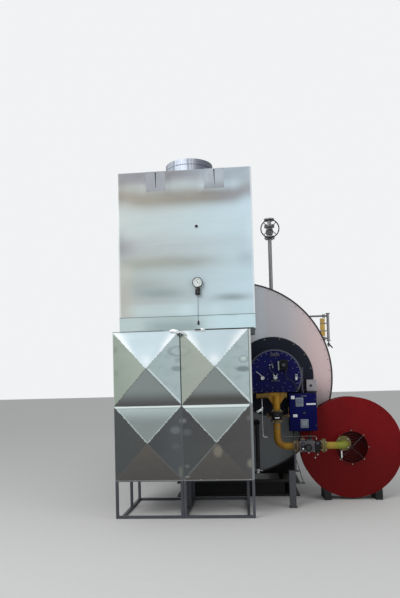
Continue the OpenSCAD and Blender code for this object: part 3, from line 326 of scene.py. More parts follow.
def sheet(name, shaded=False, dim=None):
    """Satin metal sheet with smudges, faint roll marks and oil-canning.

    A shaded one reads the piece's own colours, painted light and shade among them, and dim gives the heights of a
    painted shade at its foot."""
    g = Graph(name)
    smudge = g.cloud(5.5, 4.0, 0.62)
    roll = g.cloud(30.0, 3.0, 0.6, (0.12, 1.0, 1.0))
    fine = g.cloud(120.0, 2.0, 0.6)
    if shaded:
        g.tone = g.add("ShaderNodeAttribute", {"attribute_name": "Shade"}, output="Color")
    else:
        swell = g.cloud(1.3, 2.0, 0.5, (0.6, 0.6, 1.6))
        base = lin(176, 187, 188)
        g.tone = g.blend(g.step(swell, 0.3, 0.7), mixed(base, BLACK, 0.25), mixed(base, WHITE, 0.1))
        if dim:
            # painted shade towards the floor
            g.coat(1 - g.step(g.axis(2), dim[0], dim[1]), lin(84, 86, 84))
        g.coat(g.step(smudge, 0.45, 0.75) * 0.22, lin(120, 116, 108))
    g.coat((roll * 0.5 + fine * 0.5) * (0.1 if shaded else 0.16), lin(92, 94, 94))
    height = roll * 0.4 + fine * 0.2 + smudge
    return g.surface(0.4 + smudge * 0.14 + roll * 0.06, height, 0.001, 0.5, metal=0.35)


def duct():
    """Duct paint: red up to a straight line, black over it."""
    g = Graph("duct paint")
    red = chosen("fan")
    patches = g.cloud(3.0, 4.0, 0.6)
    fine = g.cloud(38.0, 3.0, 0.6)
    low = g.blend(g.step(patches, 0.3, 0.7), mixed(red, BLACK, 0.35), red)
    high = g.blend(g.step(patches, 0.3, 0.7), lin(14, 15, 24), lin(26, 28, 42))
    g.tone = g.blend(g.step(g.axis(2), 1.412, 1.42), low, high)
    g.coat(g.step(fine, 0.55, 0.75) * 0.25, lin(52, 40, 38))
    return g.surface(0.4 + fine * 0.15, fine + patches * 0.6, 0.0004, shine=0.25)


def foot_band():
    """Sheet of the foot band: greyer at the left, lighter and bluish at the right, a darker lower edge."""
    g = Graph("foot band sheet")
    patches = g.cloud(4.0, 3.0, 0.6, (1.0, 1.0, 3.0))
    fine = g.cloud(60.0, 3.0, 0.6)
    side = g.step(g.axis(0) + patches * 0.3, -0.45, 0.1)
    g.tone = g.blend(side, lin(190, 206, 207), lin(206, 232, 240))
    middle = g.step(g.axis(0) + patches * 0.2, -1.05, -0.75) * (1 - g.step(g.axis(0), -0.5, -0.25))
    g.coat(middle * (1 - g.step(g.axis(2), 2.26, 2.38) * 0.6), lin(158, 177, 179))
    g.coat(g.step(patches, 0.5, 0.75) * 0.3, lin(166, 186, 187))
    g.coat(fine * 0.12, lin(120, 130, 130))
    return g.surface(0.42 + patches * 0.1, patches + fine * 0.1, 0.001, 0.5, metal=0.3)


def slot_cover():
    """Dull sheet of the slot covers, the right one lighter and bluish with a dull foot."""
    g = Graph("slot cover sheet")
    smudge = g.cloud(9.0, 4.0, 0.6)
    fine = g.cloud(120.0, 2.0, 0.6)
    g.tone = g.blend(g.step(g.axis(0), -0.9, -0.4), lin(142, 145, 151), lin(172, 181, 190))
    low = (1 - g.step(g.axis(2), COVER_FOOT, COVER_FOOT + 0.11)) * g.step(g.axis(0), -0.6, -0.4)
    g.coat(low * 0.7, lin(138, 142, 145))
    g.coat(g.step(smudge, 0.4, 0.7) * 0.35, lin(140, 144, 150))
    g.coat(fine * 0.1, lin(92, 94, 94))
    return g.surface(0.42 + smudge * 0.14, smudge + fine * 0.1, 0.001, 0.5, metal=0.35)


def spigot_zinc():
    """Zinc of the spigot, streaked downwards partly by weathering and partly by painted reflections, and dark towards
    its right side in painted shade.
    """
    g = Graph("spigot zinc")
    streaks = g.cloud(30.0, 3.0, 0.7, (1.0, 1.0, 0.03))
    grain = g.cloud(60.0, 3.0, 0.65, (9.0, 9.0, 0.35))
    # vertical streaks, partly weathering and partly painted reflection, and a painted shade towards the right side
    g.tone = g.blend(g.step(streaks, 0.35, 0.62), lin(150, 160, 178), lin(208, 214, 222))
    g.coat(g.step(g.axis(0), -0.465, -0.33) * (0.5 + streaks * 0.65), lin(88, 90, 105))
    return g.surface(0.42 + grain * 0.12, grain, 0.0002, metal=0.55)


def gas_inlet():
    """Greenish yellow of the inlet pipe, with dull flanges at both its ends."""
    g = Graph("gas yellow, greenish")
    patches = g.cloud(6.0, 4.0, 0.6)
    fine = g.cloud(38.0, 3.0, 0.6)
    g.tone = g.blend(g.step(g.axis(0) + patches * 0.1, 1.22, 1.38), lin(146, 124, 40), lin(116, 124, 38))
    g.coat(g.step(patches, 0.4, 0.7) * 0.4, lin(112, 98, 22))
    flanges = 1 - g.step(g.axis(0), 1.122, 1.126) + g.step(g.axis(1), -0.53, -0.526)
    g.coat(flanges, g.blend(fine, lin(84, 76, 42), lin(108, 98, 56)))
    return g.surface(0.38 + fine * 0.14, fine + patches, 0.0004, shine=0.3)


def gas_yellow():
    """Yellow of the gas pipes, darkened towards the floor by painted shade, and dark at the flange over the butterfly
    valve.
    """
    g = Graph("gas yellow")
    colour = chosen("gas")
    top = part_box("butterfly_valve")[1].z
    patches = g.cloud(5.0, 4.0, 0.6)
    fine = g.cloud(38.0, 3.0, 0.6)
    streaks = g.cloud(9.0, 3.0, 0.6, DOWNWARDS)
    g.tone = g.blend(g.step(patches, 0.32, 0.7), mixed(colour, lin(120, 70, 8), 0.45), brighter(colour, 0.06))
    g.coat(g.step(streaks * 0.6 + fine * 0.4, 0.52, 0.74) * 0.4, lin(70, 52, 22))
    # painted shade towards the floor
    g.coat((1 - g.step(g.axis(2), 0.55, 1.35)) * 0.45, mixed(colour, BLACK, 0.5))
    # dull arms and webs beside the stem, its brown shadow side, and the flange
    off = g.axis(0) - BURNER.x
    sides = g.step(g.unsigned(off), 0.055, 0.1) * g.step(g.axis(2), 1.25, 1.3)
    g.coat(sides * 0.6, lin(84, 72, 38))
    g.coat(g.step(off, 0.026, 0.046) * (1 - g.step(off, 0.06, 0.09)) * 0.55, lin(104, 62, 8))
    flange = g.step(g.axis(2), top - 0.001, top) * (1 - g.step(g.axis(2), top + 0.02, top + 0.021))
    g.coat(flange, lin(66, 52, 28))
    return g.surface(0.36 + fine * 0.14, fine + patches, 0.0004, shine=0.3)


def concrete():
    """Plain pale floor."""
    g = Graph("studio floor")
    fine = g.cloud(14.0, 4.0, 0.6)
    base = tuple(bpy.context.scene.boiler_stage.floor)
    g.tone = g.blend(fine, mixed(base, BLACK, 0.03), mixed(base, WHITE, 0.03))
    return g.surface(0.85)


def glass():
    """Clear cover over a gauge, with a trace of dust."""
    g = Graph("gauge glass")
    fine = g.cloud(60.0, 3.0, 0.6)
    g.tone = (0.9, 0.95, 0.95, 1.0)
    return g.surface(0.06 + fine * 0.08, Transmission_Weight=0.85, IOR=1.45, Alpha=0.35 + fine * 0.08)


def display_window():
    """Grey-blue liquid crystal window with dark segment rows."""
    g = Graph("display window")
    rows = g.add("ShaderNodeTexWave", {"bands_direction": "Z"}, {"Vector": g.place, "Scale": 26.0, "Distortion": 0.0})
    cells = g.cloud(150.0, 1.0, 0.5, (1.0, 1.0, 0.3))
    marks = g.step(rows, 0.55, 0.7) * g.step(cells, 0.5, 0.56)
    g.tone = g.blend(marks * 0.6, lin(94, 104, 124), lin(50, 58, 70))
    return g.surface(0.22 + cells * 0.04)


MAKERS = {
    "cladding": cladding,
    # the casing sheet's own colours carry painted light and shade as well
    "sheet_shaded": lambda: sheet("casing sheet, own colours", shaded=True),
    "sheet_plain": lambda: sheet("casing sheet"),
    "sheet_band": foot_band,
    "sheet_cover": slot_cover,
    "white_sheet": lambda: metal("bent bright sheet", lin(232, 240, 242), 0.35, (1.0, 1.0, 1.0), 0.1),
    # joint filler, whose dark also stands for painted shade in the casing's gaps
    "joint": lambda: paint("joint filler", lin(88, 97, 95), 0.6, 0.1, 0.2, 0.0001),
    # lower casing sheet with a painted shade at its foot
    "sheet_dim": lambda: sheet("casing sheet, lower sides", dim=(0.45, 1.9)),
    "zinc": spigot_zinc,
    "trim": lambda: paint("edge trim", lin(58, 52, 54), 0.45, 0.25, shine=0.3),
    "base_steel": lambda: paint("base steel", lin(24, 24, 26), 0.6, 0.3, 0.5, 0.0006, shine=0.3),
    "fittings": lambda: casting("grey castings", lin(92, 95, 98)),
    "black_iron": lambda: casting("black iron", lin(16, 16, 18), 0.5),
    "pipe_steel": lambda: paint("dull pipe", lin(140, 141, 142), 0.4, 0.2, 0.4, metal=0.6),
    "burner_black": lambda: paint("burner plate black", lin(22, 27, 45), 0.5, 0.12, 0.2, shine=0.22),
    # the burner head's blue darkens over its lower part in painted shade
    "burner_blue": lambda: paint("burner blue", chosen("burner"), 0.38, 0.06, 0.2, low=(1.4, 1.8), dim=0.3, shine=0.1),
    "cabinet_blue": lambda: paint("cabinet blue", chosen("cabinet"), 0.4, 0.04, 0.08, shine=0.05),
    "servo_black": lambda: paint("servo plastic", lin(11, 11, 13), 0.6, 0.06, 0.1, 0.0002, shine=0.2),
    "rim_grey": lambda: metal("rim grey", lin(88, 90, 104), 0.45, (1.0, 14.0, 1.0)),
    "bolt_dull": lambda: metal("dull bolt", lin(112, 112, 108), 0.4, (1.0, 1.0, 1.0), 0.5),
    "screw_dim": lambda: metal("dim screw", lin(128, 130, 148), 0.45, (1.0, 1.0, 1.0), 0.5),
    "post_grey": lambda: paint("hinge post grey", lin(66, 64, 80), 0.45, 0.1, 0.3, shine=0.3),
    "box_grey": lambda: paint("small box grey", lin(152, 147, 152), 0.45, 0.15, 0.25),
    "plate_grey": lambda: paint("cabinet plate grey", lin(122, 131, 142), 0.45, 0.1, 0.2),
    "valve_grey": lambda: casting("valve body grey", lin(68, 64, 70), 0.45),
    "brass_dim": lambda: metal("dim brass", lin(96, 72, 40), 0.42, (1.0, 1.0, 1.0), 0.5, (52, 40, 26)),
    "grey_steel": lambda: paint("grey steel", lin(62, 63, 68), 0.5, 0.1, 0.4),
    "grey_box": lambda: paint("grey box", lin(168, 169, 168), 0.45, 0.2, 0.25),
    "white": lambda: paint("white plate", lin(214, 216, 220), 0.35, 0.1, 0.15),
    # the fan's red darkens towards the floor in painted shade
    "red": lambda: paint("fan red", chosen("fan"), 0.5, 0.04, 0.25, low=(0.2, 1.3), dim=0.35, shine=0.12),
    "duct": duct,
    "motor": lambda: paint("motor grey", lin(92, 98, 102), 0.45, 0.4, 0.35),
    "yellow": gas_yellow,
    "yellow_pale": gas_inlet,
    "brass": lambda: metal("brass", lin(172, 136, 70), 0.3, (1.0, 1.0, 1.0), 0.4, (80, 62, 36)),
    "brown": lambda: casting("brown flange", lin(82, 66, 42), 0.5),
    "silver": lambda: metal("drawn steel", lin(205, 206, 208), 0.24, (1.0, 1.0, 6.0), 0.15),
    "bolt": lambda: metal("zinc bolt", lin(178, 178, 174), 0.3, (1.0, 1.0, 1.0), 0.3),
    "frame_steel": lambda: paint("frame steel", lin(74, 77, 84), 0.5, 0.1, 0.4, metal=0.3),
    "case_black": lambda: paint("gauge case", lin(20, 20, 22), 0.32, 0.1, 0.1, 0.0001),
    "dial": lambda: paint("dial white", lin(226, 230, 228), 0.4, 0.0, 0.1, 0.0),
    "ink": lambda: paint("dial ink", lin(16, 16, 18), 0.5, 0.0, 0.0, 0.0),
    "amber": lambda: paint("gauge glass amber", lin(206, 170, 82), 0.22, 0.05, 0.2, 0.0),
    "glass": glass,
    "display": display_window,
    "rubber": lambda: paint("rubber", lin(24, 24, 25), 0.65, 0.2, 0.2, 0.0001),
    "weld": lambda: casting("weld bead", lin(96, 98, 98), 0.45),
}
_made = {}


def finish(name):
    """The material of that name, made once."""
    if name not in _made:
        _made[name] = MAKERS[name]()
    return _made[name]


# Mesh work

ALONG = {
    "x": Matrix.Rotation(math.pi / 2, 4, "Y"),
    "-x": Matrix.Rotation(-math.pi / 2, 4, "Y"),
    "y": Matrix.Rotation(-math.pi / 2, 4, "X"),
    "-y": Matrix.Rotation(math.pi / 2, 4, "X"),
    "z": Matrix.Identity(4),
    "-z": Matrix.Rotation(math.pi, 4, "X"),
}


def at(x, y, z, along="z"):
    """Place whose own Z axis points along the named axis."""
    return Matrix.Translation((x, y, z)) @ ALONG[along]


def circle(shape, radius, height, sides):
    """Ring of vertices about the Z axis."""
    turns = [2 * math.pi * i / sides for i in range(sides)]
    return [shape.verts.new((radius * math.cos(t), radius * math.sin(t), height)) for t in turns]


def walls(shape, a, b):
    """Faces between two rings of as many vertices."""
    for i in range(len(a)):
        j = (i + 1) % len(a)
        shape.faces.new((a[i], a[j], b[j], b[i]))


class Piece:
    """A mesh gathered from shapes, each with its own finish, which becomes one object on the boiler.

    Its boxes, tubes and places are given from the piece's own origin."""

    def __init__(self, name, origin=(0.0, 0.0, 0.0)):
        self.name = name
        self.origin = origin
        self.mesh = bmesh.new()
        self.finishes = []

    def spot(self, point):
        """A point of the piece in the row frame."""
        return Vector(o + p for o, p in zip(self.origin, point))

    def at(self, x, y, z, along="-y"):
        """A place of the piece, facing the front unless another way is named."""
        return at(*(o + p for o, p in zip(self.origin, (x, y, z))), along)

    def take(self, shape, look, place=None):
        """Adds a bmesh, put in its place, with its faces turned outwards."""
        if look not in self.finishes:
            self.finishes.append(look)
        index = self.finishes.index(look)
        if place is not None:
            bmesh.ops.transform(shape, matrix=place, verts=shape.verts)
        bmesh.ops.recalc_face_normals(shape, faces=shape.faces)
        for face in shape.faces:
            face.material_index = index
            face.smooth = True
        part = bpy.data.meshes.new("part")
        shape.to_mesh(part)
        shape.free()
        self.mesh.from_mesh(part)
        bpy.data.meshes.remove(part)

    def take_mesh(self, mesh, look, place):
        """Adds a finished mesh, such as a pattern from a node tree."""
        shape = bmesh.new()
        shape.from_mesh(mesh)
        self.take(shape, look, place)

    def box(self, low, high, look, bevel=0.002, steps=2):
        """Box with rounded edges between two corners."""
        shape = bmesh.new()
        low, high = self.spot(low), self.spot(high)
        bmesh.ops.create_cube(shape, size=1.0)
        size = high - low
        place = Matrix.Translation((low + high) / 2) @ Matrix.Diagonal((*size, 1.0))
        bmesh.ops.transform(shape, matrix=place, verts=shape.verts)
        if bevel:
            bevel = min(bevel, min(size) * 0.45)
            bmesh.ops.bevel(shape, geom=shape.edges[:], offset=bevel, segments=steps, profile=0.5, affect="EDGES")
        self.take(shape, look)

    def lathe(self, profile, place, look, sides=48):
        """Solid of revolution about its own Z axis, from (radius, height) pairs, closed on the axis."""
        shape = bmesh.new()
        if profile[0][0]:
            profile = [(0, profile[0][1]), *profile, (0, profile[-1][1])]
        rings = [circle(shape, radius, height, sides if radius else 1) for radius, height in profile]
        for a, b in zip(rings, rings[1:]):
            if len(a) == len(b):
                walls(shape, a, b)
                continue
            for i in range(sides):
                j = (i + 1) % sides
                shape.faces.new((a[0], b[j], b[i]) if len(a) == 1 else (a[i], a[j], b[0]))
        self.take(shape, look, place)

    def rod(self, radius, length, place, look, sides=48):
        """Straight round or six-sided bar that stands on its place."""
        self.lathe([(radius, 0), (radius, length)], place, look, sides)

    def ring(self, profile, place, look, sides=64):
        """Closed section of (radius, height) pairs turned about its own Z axis."""
        shape = bmesh.new()
        rings = [circle(shape, radius, height, sides) for radius, height in profile]
        for a, b in zip(rings, rings[1:] + rings[:1]):
            walls(shape, a, b)
        self.take(shape, look, place)

    def disc(self, radius, thick, place, look, bevel=0.002, sides=48):
        """Round plate with eased edges, standing on its place."""
        b = min(bevel, thick * 0.45)
        profile = [(radius - b, 0), (radius, b), (radius, thick - b), (radius - b, thick)]
        self.lathe(profile, place, look, sides)

    def heads(self, xs, y, zs, radius, thick, look):
        """Round screw heads at the corners of a rectangle that faces the front."""
        for x in xs:
            for z in zs:
                self.disc(radius, thick, self.at(x, y, z), look, 0.001, 12)

    def tube(self, points, radius, look, sides=12, bend=0.0):
        """Round bar along a line of points, its corners rounded to a bend radius."""
        path = [self.spot(p) for p in points]
        if bend:
            path = rounded(path, bend)
        shape = bmesh.new()
        rings = []
        up = None
        for i, point in enumerate(path):
            ahead = (path[min(i + 1, len(path) - 1)] - path[max(i - 1, 0)]).normalized()
            if up is None:
                up = ahead.orthogonal().normalized()
            up = (up - ahead * up.dot(ahead)).normalized()
            side = ahead.cross(up)
            ring = []
            for k in range(sides):
                turn = 2 * math.pi * k / sides
                ring.append(shape.verts.new(point + up * radius * math.cos(turn) + side * radius * math.sin(turn)))
            rings.append(ring)
        for a, b in zip(rings, rings[1:]):
            walls(shape, a, b)
        shape.faces.new(rings[0])
        shape.faces.new(rings[-1])
        self.take(shape, look)

    def prism(self, outline, thick, place, look, bevel=0.0):
        """Plate of an outline in its own XY plane."""
        shape = bmesh.new()
        low = [shape.verts.new((x, y, 0)) for x, y in outline]
        high = [shape.verts.new((x, y, thick)) for x, y in outline]
        shape.faces.new(low)
        shape.faces.new(high)
        walls(shape, low, high)
        if bevel:
            bmesh.ops.bevel(shape, geom=shape.edges[:], offset=bevel, segments=2, profile=0.5, affect="EDGES")
        self.take(shape, look, place)

    def bolts(self, place, radius, count, size, turn=0.0, look="bolt", washer=True):
        """Circle of hexagon heads with washers."""
        mesh = pattern(bolt_circle(), Radius=radius, Count=count, Head=size, Washer=size * (0.62 if washer else 0.1))
        self.take_mesh(mesh, look, place @ Matrix.Rotation(turn, 4, "Z"))
        bpy.data.meshes.remove(mesh)

    def screws(self, start, end, pitch, size, facing="-y", look="bolt"):
        """Row of pan heads between two points, all facing one way."""
        start, end = self.spot(start), self.spot(end)
        count = max(2, round((end - start).length / pitch) + 1)
        turned = ALONG[facing].inverted() @ (end - start)
        mesh = pattern(screw_row(), Count=count, Step=turned / (count - 1), Head=size)
        self.take_mesh(mesh, look, Matrix.Translation(start) @ ALONG[facing])
        bpy.data.meshes.remove(mesh)

    def done(self, slot, *stands_for):
        """Turns the gathered shapes into one object that rides on the boiler."""
        mesh = bpy.data.meshes.new(self.name)
        self.mesh.to_mesh(mesh)
        self.mesh.free()
        for look in self.finishes:
            mesh.materials.append(finish(look))
        return settle(self.name, mesh, slot, *stands_for)


def new_object(name, data):
    """Object with this data, linked to the scene."""
    made = bpy.data.objects.new(name, data)
    bpy.context.scene.collection.objects.link(made)
    return made


def settle(name, mesh, slot, *stands_for):
    """Puts a finished mesh into the scene, on its body, and hides the nodes it stands for; its slot is not used."""
    mesh.shade_smooth()
    mesh.set_sharp_from_angle(angle=math.radians(34))
    piece = new_object(name, mesh)
    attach(piece, BODY)
    if stands_for:
        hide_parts(*stands_for)
    return piece


def rounded(points, radius):
    """The same line with each corner replaced by an arc-like curve."""
    steps = 6
    path = [points[0]]
    for before, corner, after in zip(points, points[1:], points[2:]):
        back = (before - corner).normalized()
        ahead = (after - corner).normalized()
        reach = min(radius, (before - corner).length * 0.49, (after - corner).length * 0.49)
        a, b = corner + back * reach, corner + ahead * reach
        for i in range(steps + 1):
            t = i / steps
            path.append(a * (1 - t) ** 2 + corner * 2 * t * (1 - t) + b * t**2)
    path.append(points[-1])
    return path


# Geometry Nodes patterns

_trees = {}


def new_tree(name, sockets):
    """Empty geometry tree with its inputs, as (name, socket type, default)."""
    tree = bpy.data.node_groups.new(name, "GeometryNodeTree")
    tree.interface.new_socket("Geometry", in_out="INPUT", socket_type="NodeSocketGeometry")
    for title, kind, default in sockets:
        socket = tree.interface.new_socket(title, in_out="INPUT", socket_type=kind)
        socket.default_value = default
    tree.interface.new_socket("Geometry", in_out="OUTPUT", socket_type="NodeSocketGeometry")
    return tree


def grow(tree, kind, **links):
    """Adds a geometry node with its linked or set inputs."""
    node = tree.nodes.new(kind)
    for key, value in links.items():
        socket = node.inputs[key.replace("_", " ")]
        if isinstance(value, bpy.types.NodeSocket):
            tree.links.new(value, socket)
        else:
            socket.default_value = value
    return node


def scaled(tree, value, factor):
    """A number input times a factor."""
    node = tree.nodes.new("ShaderNodeMath")
    node.operation = "MULTIPLY"
    tree.links.new(value, node.inputs[0])
    node.inputs[1].default_value = factor
    return node.outputs[0]


def lifted(tree, geometry, height):
    """Geometry raised along Z by a number socket."""
    offset = grow(tree, "ShaderNodeCombineXYZ", Z=height)
    return grow(tree, "GeometryNodeTransform", Geometry=geometry, Translation=offset.outputs[0]).outputs[0]


def close_tree(tree, points, head):
    """Instances the head on the points, realizes them and sets the finish."""
    spread = grow(tree, "GeometryNodeInstanceOnPoints", Points=points, Instance=head)
    real = grow(tree, "GeometryNodeRealizeInstances", Geometry=spread.outputs[0])
    dressed = grow(tree, "GeometryNodeSetMaterial", Geometry=real.outputs[0], Material=finish("bolt"))
    end = tree.nodes.new("NodeGroupOutput")
    tree.links.new(dressed.outputs[0], end.inputs[0])


def bolt_circle():
    """Tree of hexagon heads with washers on a circle."""
    if "bolts" not in _trees:
        inputs = [
            ("Radius", "NodeSocketFloat", 0.1),
            ("Count", "NodeSocketInt", 8),
            ("Head", "NodeSocketFloat", 0.02),
            ("Washer", "NodeSocketFloat", 0.012),
        ]
        tree = new_tree("Bolt circle", inputs)
        given = tree.nodes.new("NodeGroupInput").outputs
        circle = grow(tree, "GeometryNodeMeshCircle", Vertices=given["Count"], Radius=given["Radius"])
        half = scaled(tree, given["Head"], 0.56)
        tall = scaled(tree, given["Head"], 0.62)
        flat = scaled(tree, given["Head"], 0.14)
        head = grow(tree, "GeometryNodeMeshCylinder", Vertices=6, Radius=half, Depth=tall)
        washer = grow(tree, "GeometryNodeMeshCylinder", Vertices=14, Radius=given["Washer"], Depth=flat)
        raised = lifted(tree, head.outputs["Mesh"], scaled(tree, given["Head"], 0.38))
        seated = lifted(tree, washer.outputs["Mesh"], scaled(tree, given["Head"], 0.05))
        joined = tree.nodes.new("GeometryNodeJoinGeometry")
        tree.links.new(raised, joined.inputs[0])
        tree.links.new(seated, joined.inputs[0])
        close_tree(tree, circle.outputs[0], joined.outputs[0])
        _trees["bolts"] = tree
    return _trees["bolts"]


def screw_row():
    """Tree of low round heads along a line."""
    if "screws" not in _trees:
        inputs = [
            ("Count", "NodeSocketInt", 8),
            ("Step", "NodeSocketVector", (0.1, 0.0, 0.0)),
            ("Head", "NodeSocketFloat", 0.008),
        ]
        tree = new_tree("Screw row", inputs)
        given = tree.nodes.new("NodeGroupInput").outputs
        line = grow(tree, "GeometryNodeMeshLine", Count=given["Count"], Offset=given["Step"])
        ball = grow(tree, "GeometryNodeMeshUVSphere", Segments=8, Rings=5, Radius=scaled(tree, given["Head"], 0.5))
        low = grow(tree, "GeometryNodeTransform", Geometry=ball.outputs["Mesh"], Scale=(1.0, 1.0, 0.6))
        close_tree(tree, line.outputs[0], low.outputs[0])
        _trees["screws"] = tree
    return _trees["screws"]


def pattern(tree, **values):
    """Evaluates a pattern tree on an empty mesh and returns its plain mesh."""
    seed = new_object("seed", bpy.data.meshes.new("seed"))
    modifier = seed.modifiers.new("pattern", "NODES")
    modifier.node_group = tree
    for item in tree.interface.items_tree:
        if item.item_type == "SOCKET" and item.in_out == "INPUT" and item.name in values:
            modifier[item.identifier] = values[item.name]
    depsgraph = bpy.context.evaluated_depsgraph_get()
    mesh = bpy.data.meshes.new_from_object(seed.evaluated_get(depsgraph), depsgraph=depsgraph)
    seed.modifiers.remove(modifier)
    blank = seed.data
    bpy.data.objects.remove(seed)
    bpy.data.meshes.remove(blank)
    return mesh


# Casing sheets


def grid_lines(low, high, count, marks=()):
    """Even grid lines with extra ones at the edges and at given marks."""
    edge, closest = 0.006, 0.0012
    lines = set(np.linspace(low, high, count + 1).round(6))
    for mark in (low, high):
        away = 1 if mark == low else -1
        lines |= {round(mark + away * edge * s, 6) for s in (0.3, 1.0)}
    for mark in marks:
        lines.add(round(mark, 6))
    lines = sorted(lines)
    kept = [lines[0]]
    fixed = {round(m, 6) for m in marks} | {round(high, 6)}
    for line in lines[1:]:
        if line - kept[-1] > closest or line in fixed:
            kept.append(line)
    return kept


def on_front(u, v, height):
    """Place on the casing's front plane, height metres before it."""
    return (u, CASING_Y - height, v)


def away(u, v, spot):
    """Distance from a dent or stain, 1 at its edge."""
    return math.hypot((u - spot[0]) / spot[2], (v - spot[1]) / spot[3])


def closed_sheet(name, us, vs, front, back, shade, put=on_front, missing=None, middle=None):
    """Sheet between a wavy front and a flat back, closed round its edge and its openings.

    front(u, v) gives the height over the flat plane and put(u, v, height) the place."""
    across, along = len(us), len(vs)
    face = np.array([[put(u, v, front(u, v)) for v in vs] for u in us]).reshape(-1, 3)
    rear = np.array([[put(u, v, back) for v in vs] for u in us]).reshape(-1, 3)
    present = np.ones((across - 1, along - 1), bool)
    if missing:
        for i in range(across - 1):
            for j in range(along - 1):
                present[i, j] = not missing((us[i] + us[i + 1]) / 2, (vs[j] + vs[j + 1]) / 2)
    faces = []
    total = across * along

    def number(i, j):
        return i * along + j

    def there(i, j):
        return 0 <= i < across - 1 and 0 <= j < along - 1 and present[i, j]

    u_mid, v_mid = middle or ((us[0] + us[-1]) / 2, (vs[0] + vs[-1]) / 2)
    for i in range(across - 1):
        for j in range(along - 1):
            if not present[i, j]:
                continue
            a, b, c, d = number(i, j), number(i + 1, j), number(i + 1, j + 1), number(i, j + 1)
            side = ((us[i] + us[i + 1]) / 2 - u_mid) * ((vs[j] + vs[j + 1]) / 2 - v_mid)
            faces += [(a, b, c), (a, c, d)] if side > 0 else [(a, b, d), (b, c, d)]
            faces.append((d + total, c + total, b + total, a + total))
            for here, p, q in (((i, j - 1), a, b), ((i + 1, j), b, c), ((i, j + 1), c, d), ((i - 1, j), d, a)):
                if not there(*here):
                    faces.append((q, p, p + total, q + total))
    mesh = bpy.data.meshes.new(name)
    mesh.from_pydata([tuple(p) for p in np.vstack([face, rear])], [], faces)
    colours = mesh.attributes.new("Shade", "FLOAT_COLOR", "POINT")
    values = [shade(u, v) for u in us for v in vs]
    flat = np.array([(*c, 1.0) for c in values + values], np.float32).ravel()
    colours.data.foreach_set("color", flat)
    loose = bmesh.new()
    loose.from_mesh(mesh)
    bmesh.ops.delete(loose, geom=[v for v in loose.verts if not v.link_faces], context="VERTS")
    bmesh.ops.recalc_face_normals(loose, faces=loose.faces)
    loose.to_mesh(mesh)
    loose.free()
    mesh.materials.append(finish("sheet_shaded"))
    return mesh


def ripple(u, v, seed, size, depth):
    """Soft random height of thin sheet metal."""
    return noise.noise(Vector((u / size, v / size, seed))) * depth


def ease(distance, radius):
    """How far a rounded edge drops, this far in from the edge."""
    if distance >= radius:
        return 0.0
    gap = radius - distance
    return radius - math.sqrt(max(0.0, radius * radius - gap * gap))


def bell(value, centre, width):
    """Soft peak of 1 at the centre."""
    return math.exp(-(((value - centre) / width) ** 2))


# Painted light and shade on the facets of the two rows of panels, bright where they face up and dark where they face
# down, each from the panel's edge to its apex
UPPER_FACET_LIGHT = {
    "top": (lin(194, 212, 220), lin(205, 222, 229)),
    "left": (lin(157, 169, 157), lin(168, 179, 168)),
    "right": (lin(180, 197, 200), lin(174, 192, 192)),
    "bottom": (lin(86, 87, 87), lin(140, 150, 149)),
}
LOWER_FACET_LIGHT = {
    "top": (lin(176, 192, 191), lin(134, 144, 143)),
    "left": (lin(74, 77, 78), lin(77, 79, 79)),
    "right": (lin(82, 86, 89), lin(72, 75, 77)),
    "bottom": (lin(83, 81, 79), lin(92, 90, 86)),
}
GLINT = lin(240, 248, 252)
STRIP = 0.026
RIM = 0.007
DEEP = 0.003

# Dents as place, half width, half height and depth, and stains and painted glows as place, half sizes, colour and
# share
DENTS = ((-0.617, 1.972, 0.125, 0.055, 0.0015), (0.135, 1.858, 0.05, 0.038, 0.006))
STAINS_AND_GLOWS = (
    (-0.655, 1.765, 0.07, 0.034, lin(134, 148, 149), 0.8),
    (-0.64, 1.87, 0.045, 0.03, lin(150, 160, 160), 0.5),
    (0.13, 1.742, 0.085, 0.034, lin(122, 135, 137), 0.9),
    (-1.4, 2.01, 0.035, 0.05, lin(138, 148, 136), 0.6),
    (-1.39, 1.73, 0.04, 0.04, lin(140, 150, 140), 0.6),
    (-0.69, 1.038, 0.06, 0.045, lin(118, 124, 126), 0.7),
    (-0.6, 1.146, 0.045, 0.028, lin(126, 130, 130), 0.7),
    (-0.69, 0.85, 0.05, 0.035, lin(100, 98, 98), 0.6),
    (-0.55, 1.01, 0.055, 0.04, lin(102, 106, 108), 0.6),
    (-0.635, 0.547, 0.03, 0.06, lin(116, 120, 110), 0.7),
    (-0.56, 0.612, 0.03, 0.02, lin(110, 116, 118), 0.7),
    (-0.56, 0.487, 0.03, 0.008, lin(170, 172, 172), 0.8),
    (0.19, 1.165, 0.04, 0.03, lin(118, 116, 115), 0.6),
    # two warm pale patches on the lower right panel: painted glows of reflected light
    (0.205, 0.637, 0.06, 0.055, lin(132, 130, 120), 0.9),
    (-0.191, 0.787, 0.052, 0.07, lin(134, 129, 117), 0.9),
    (-1.043, 0.787, 0.055, 0.055, lin(98, 92, 84), 0.7),
)


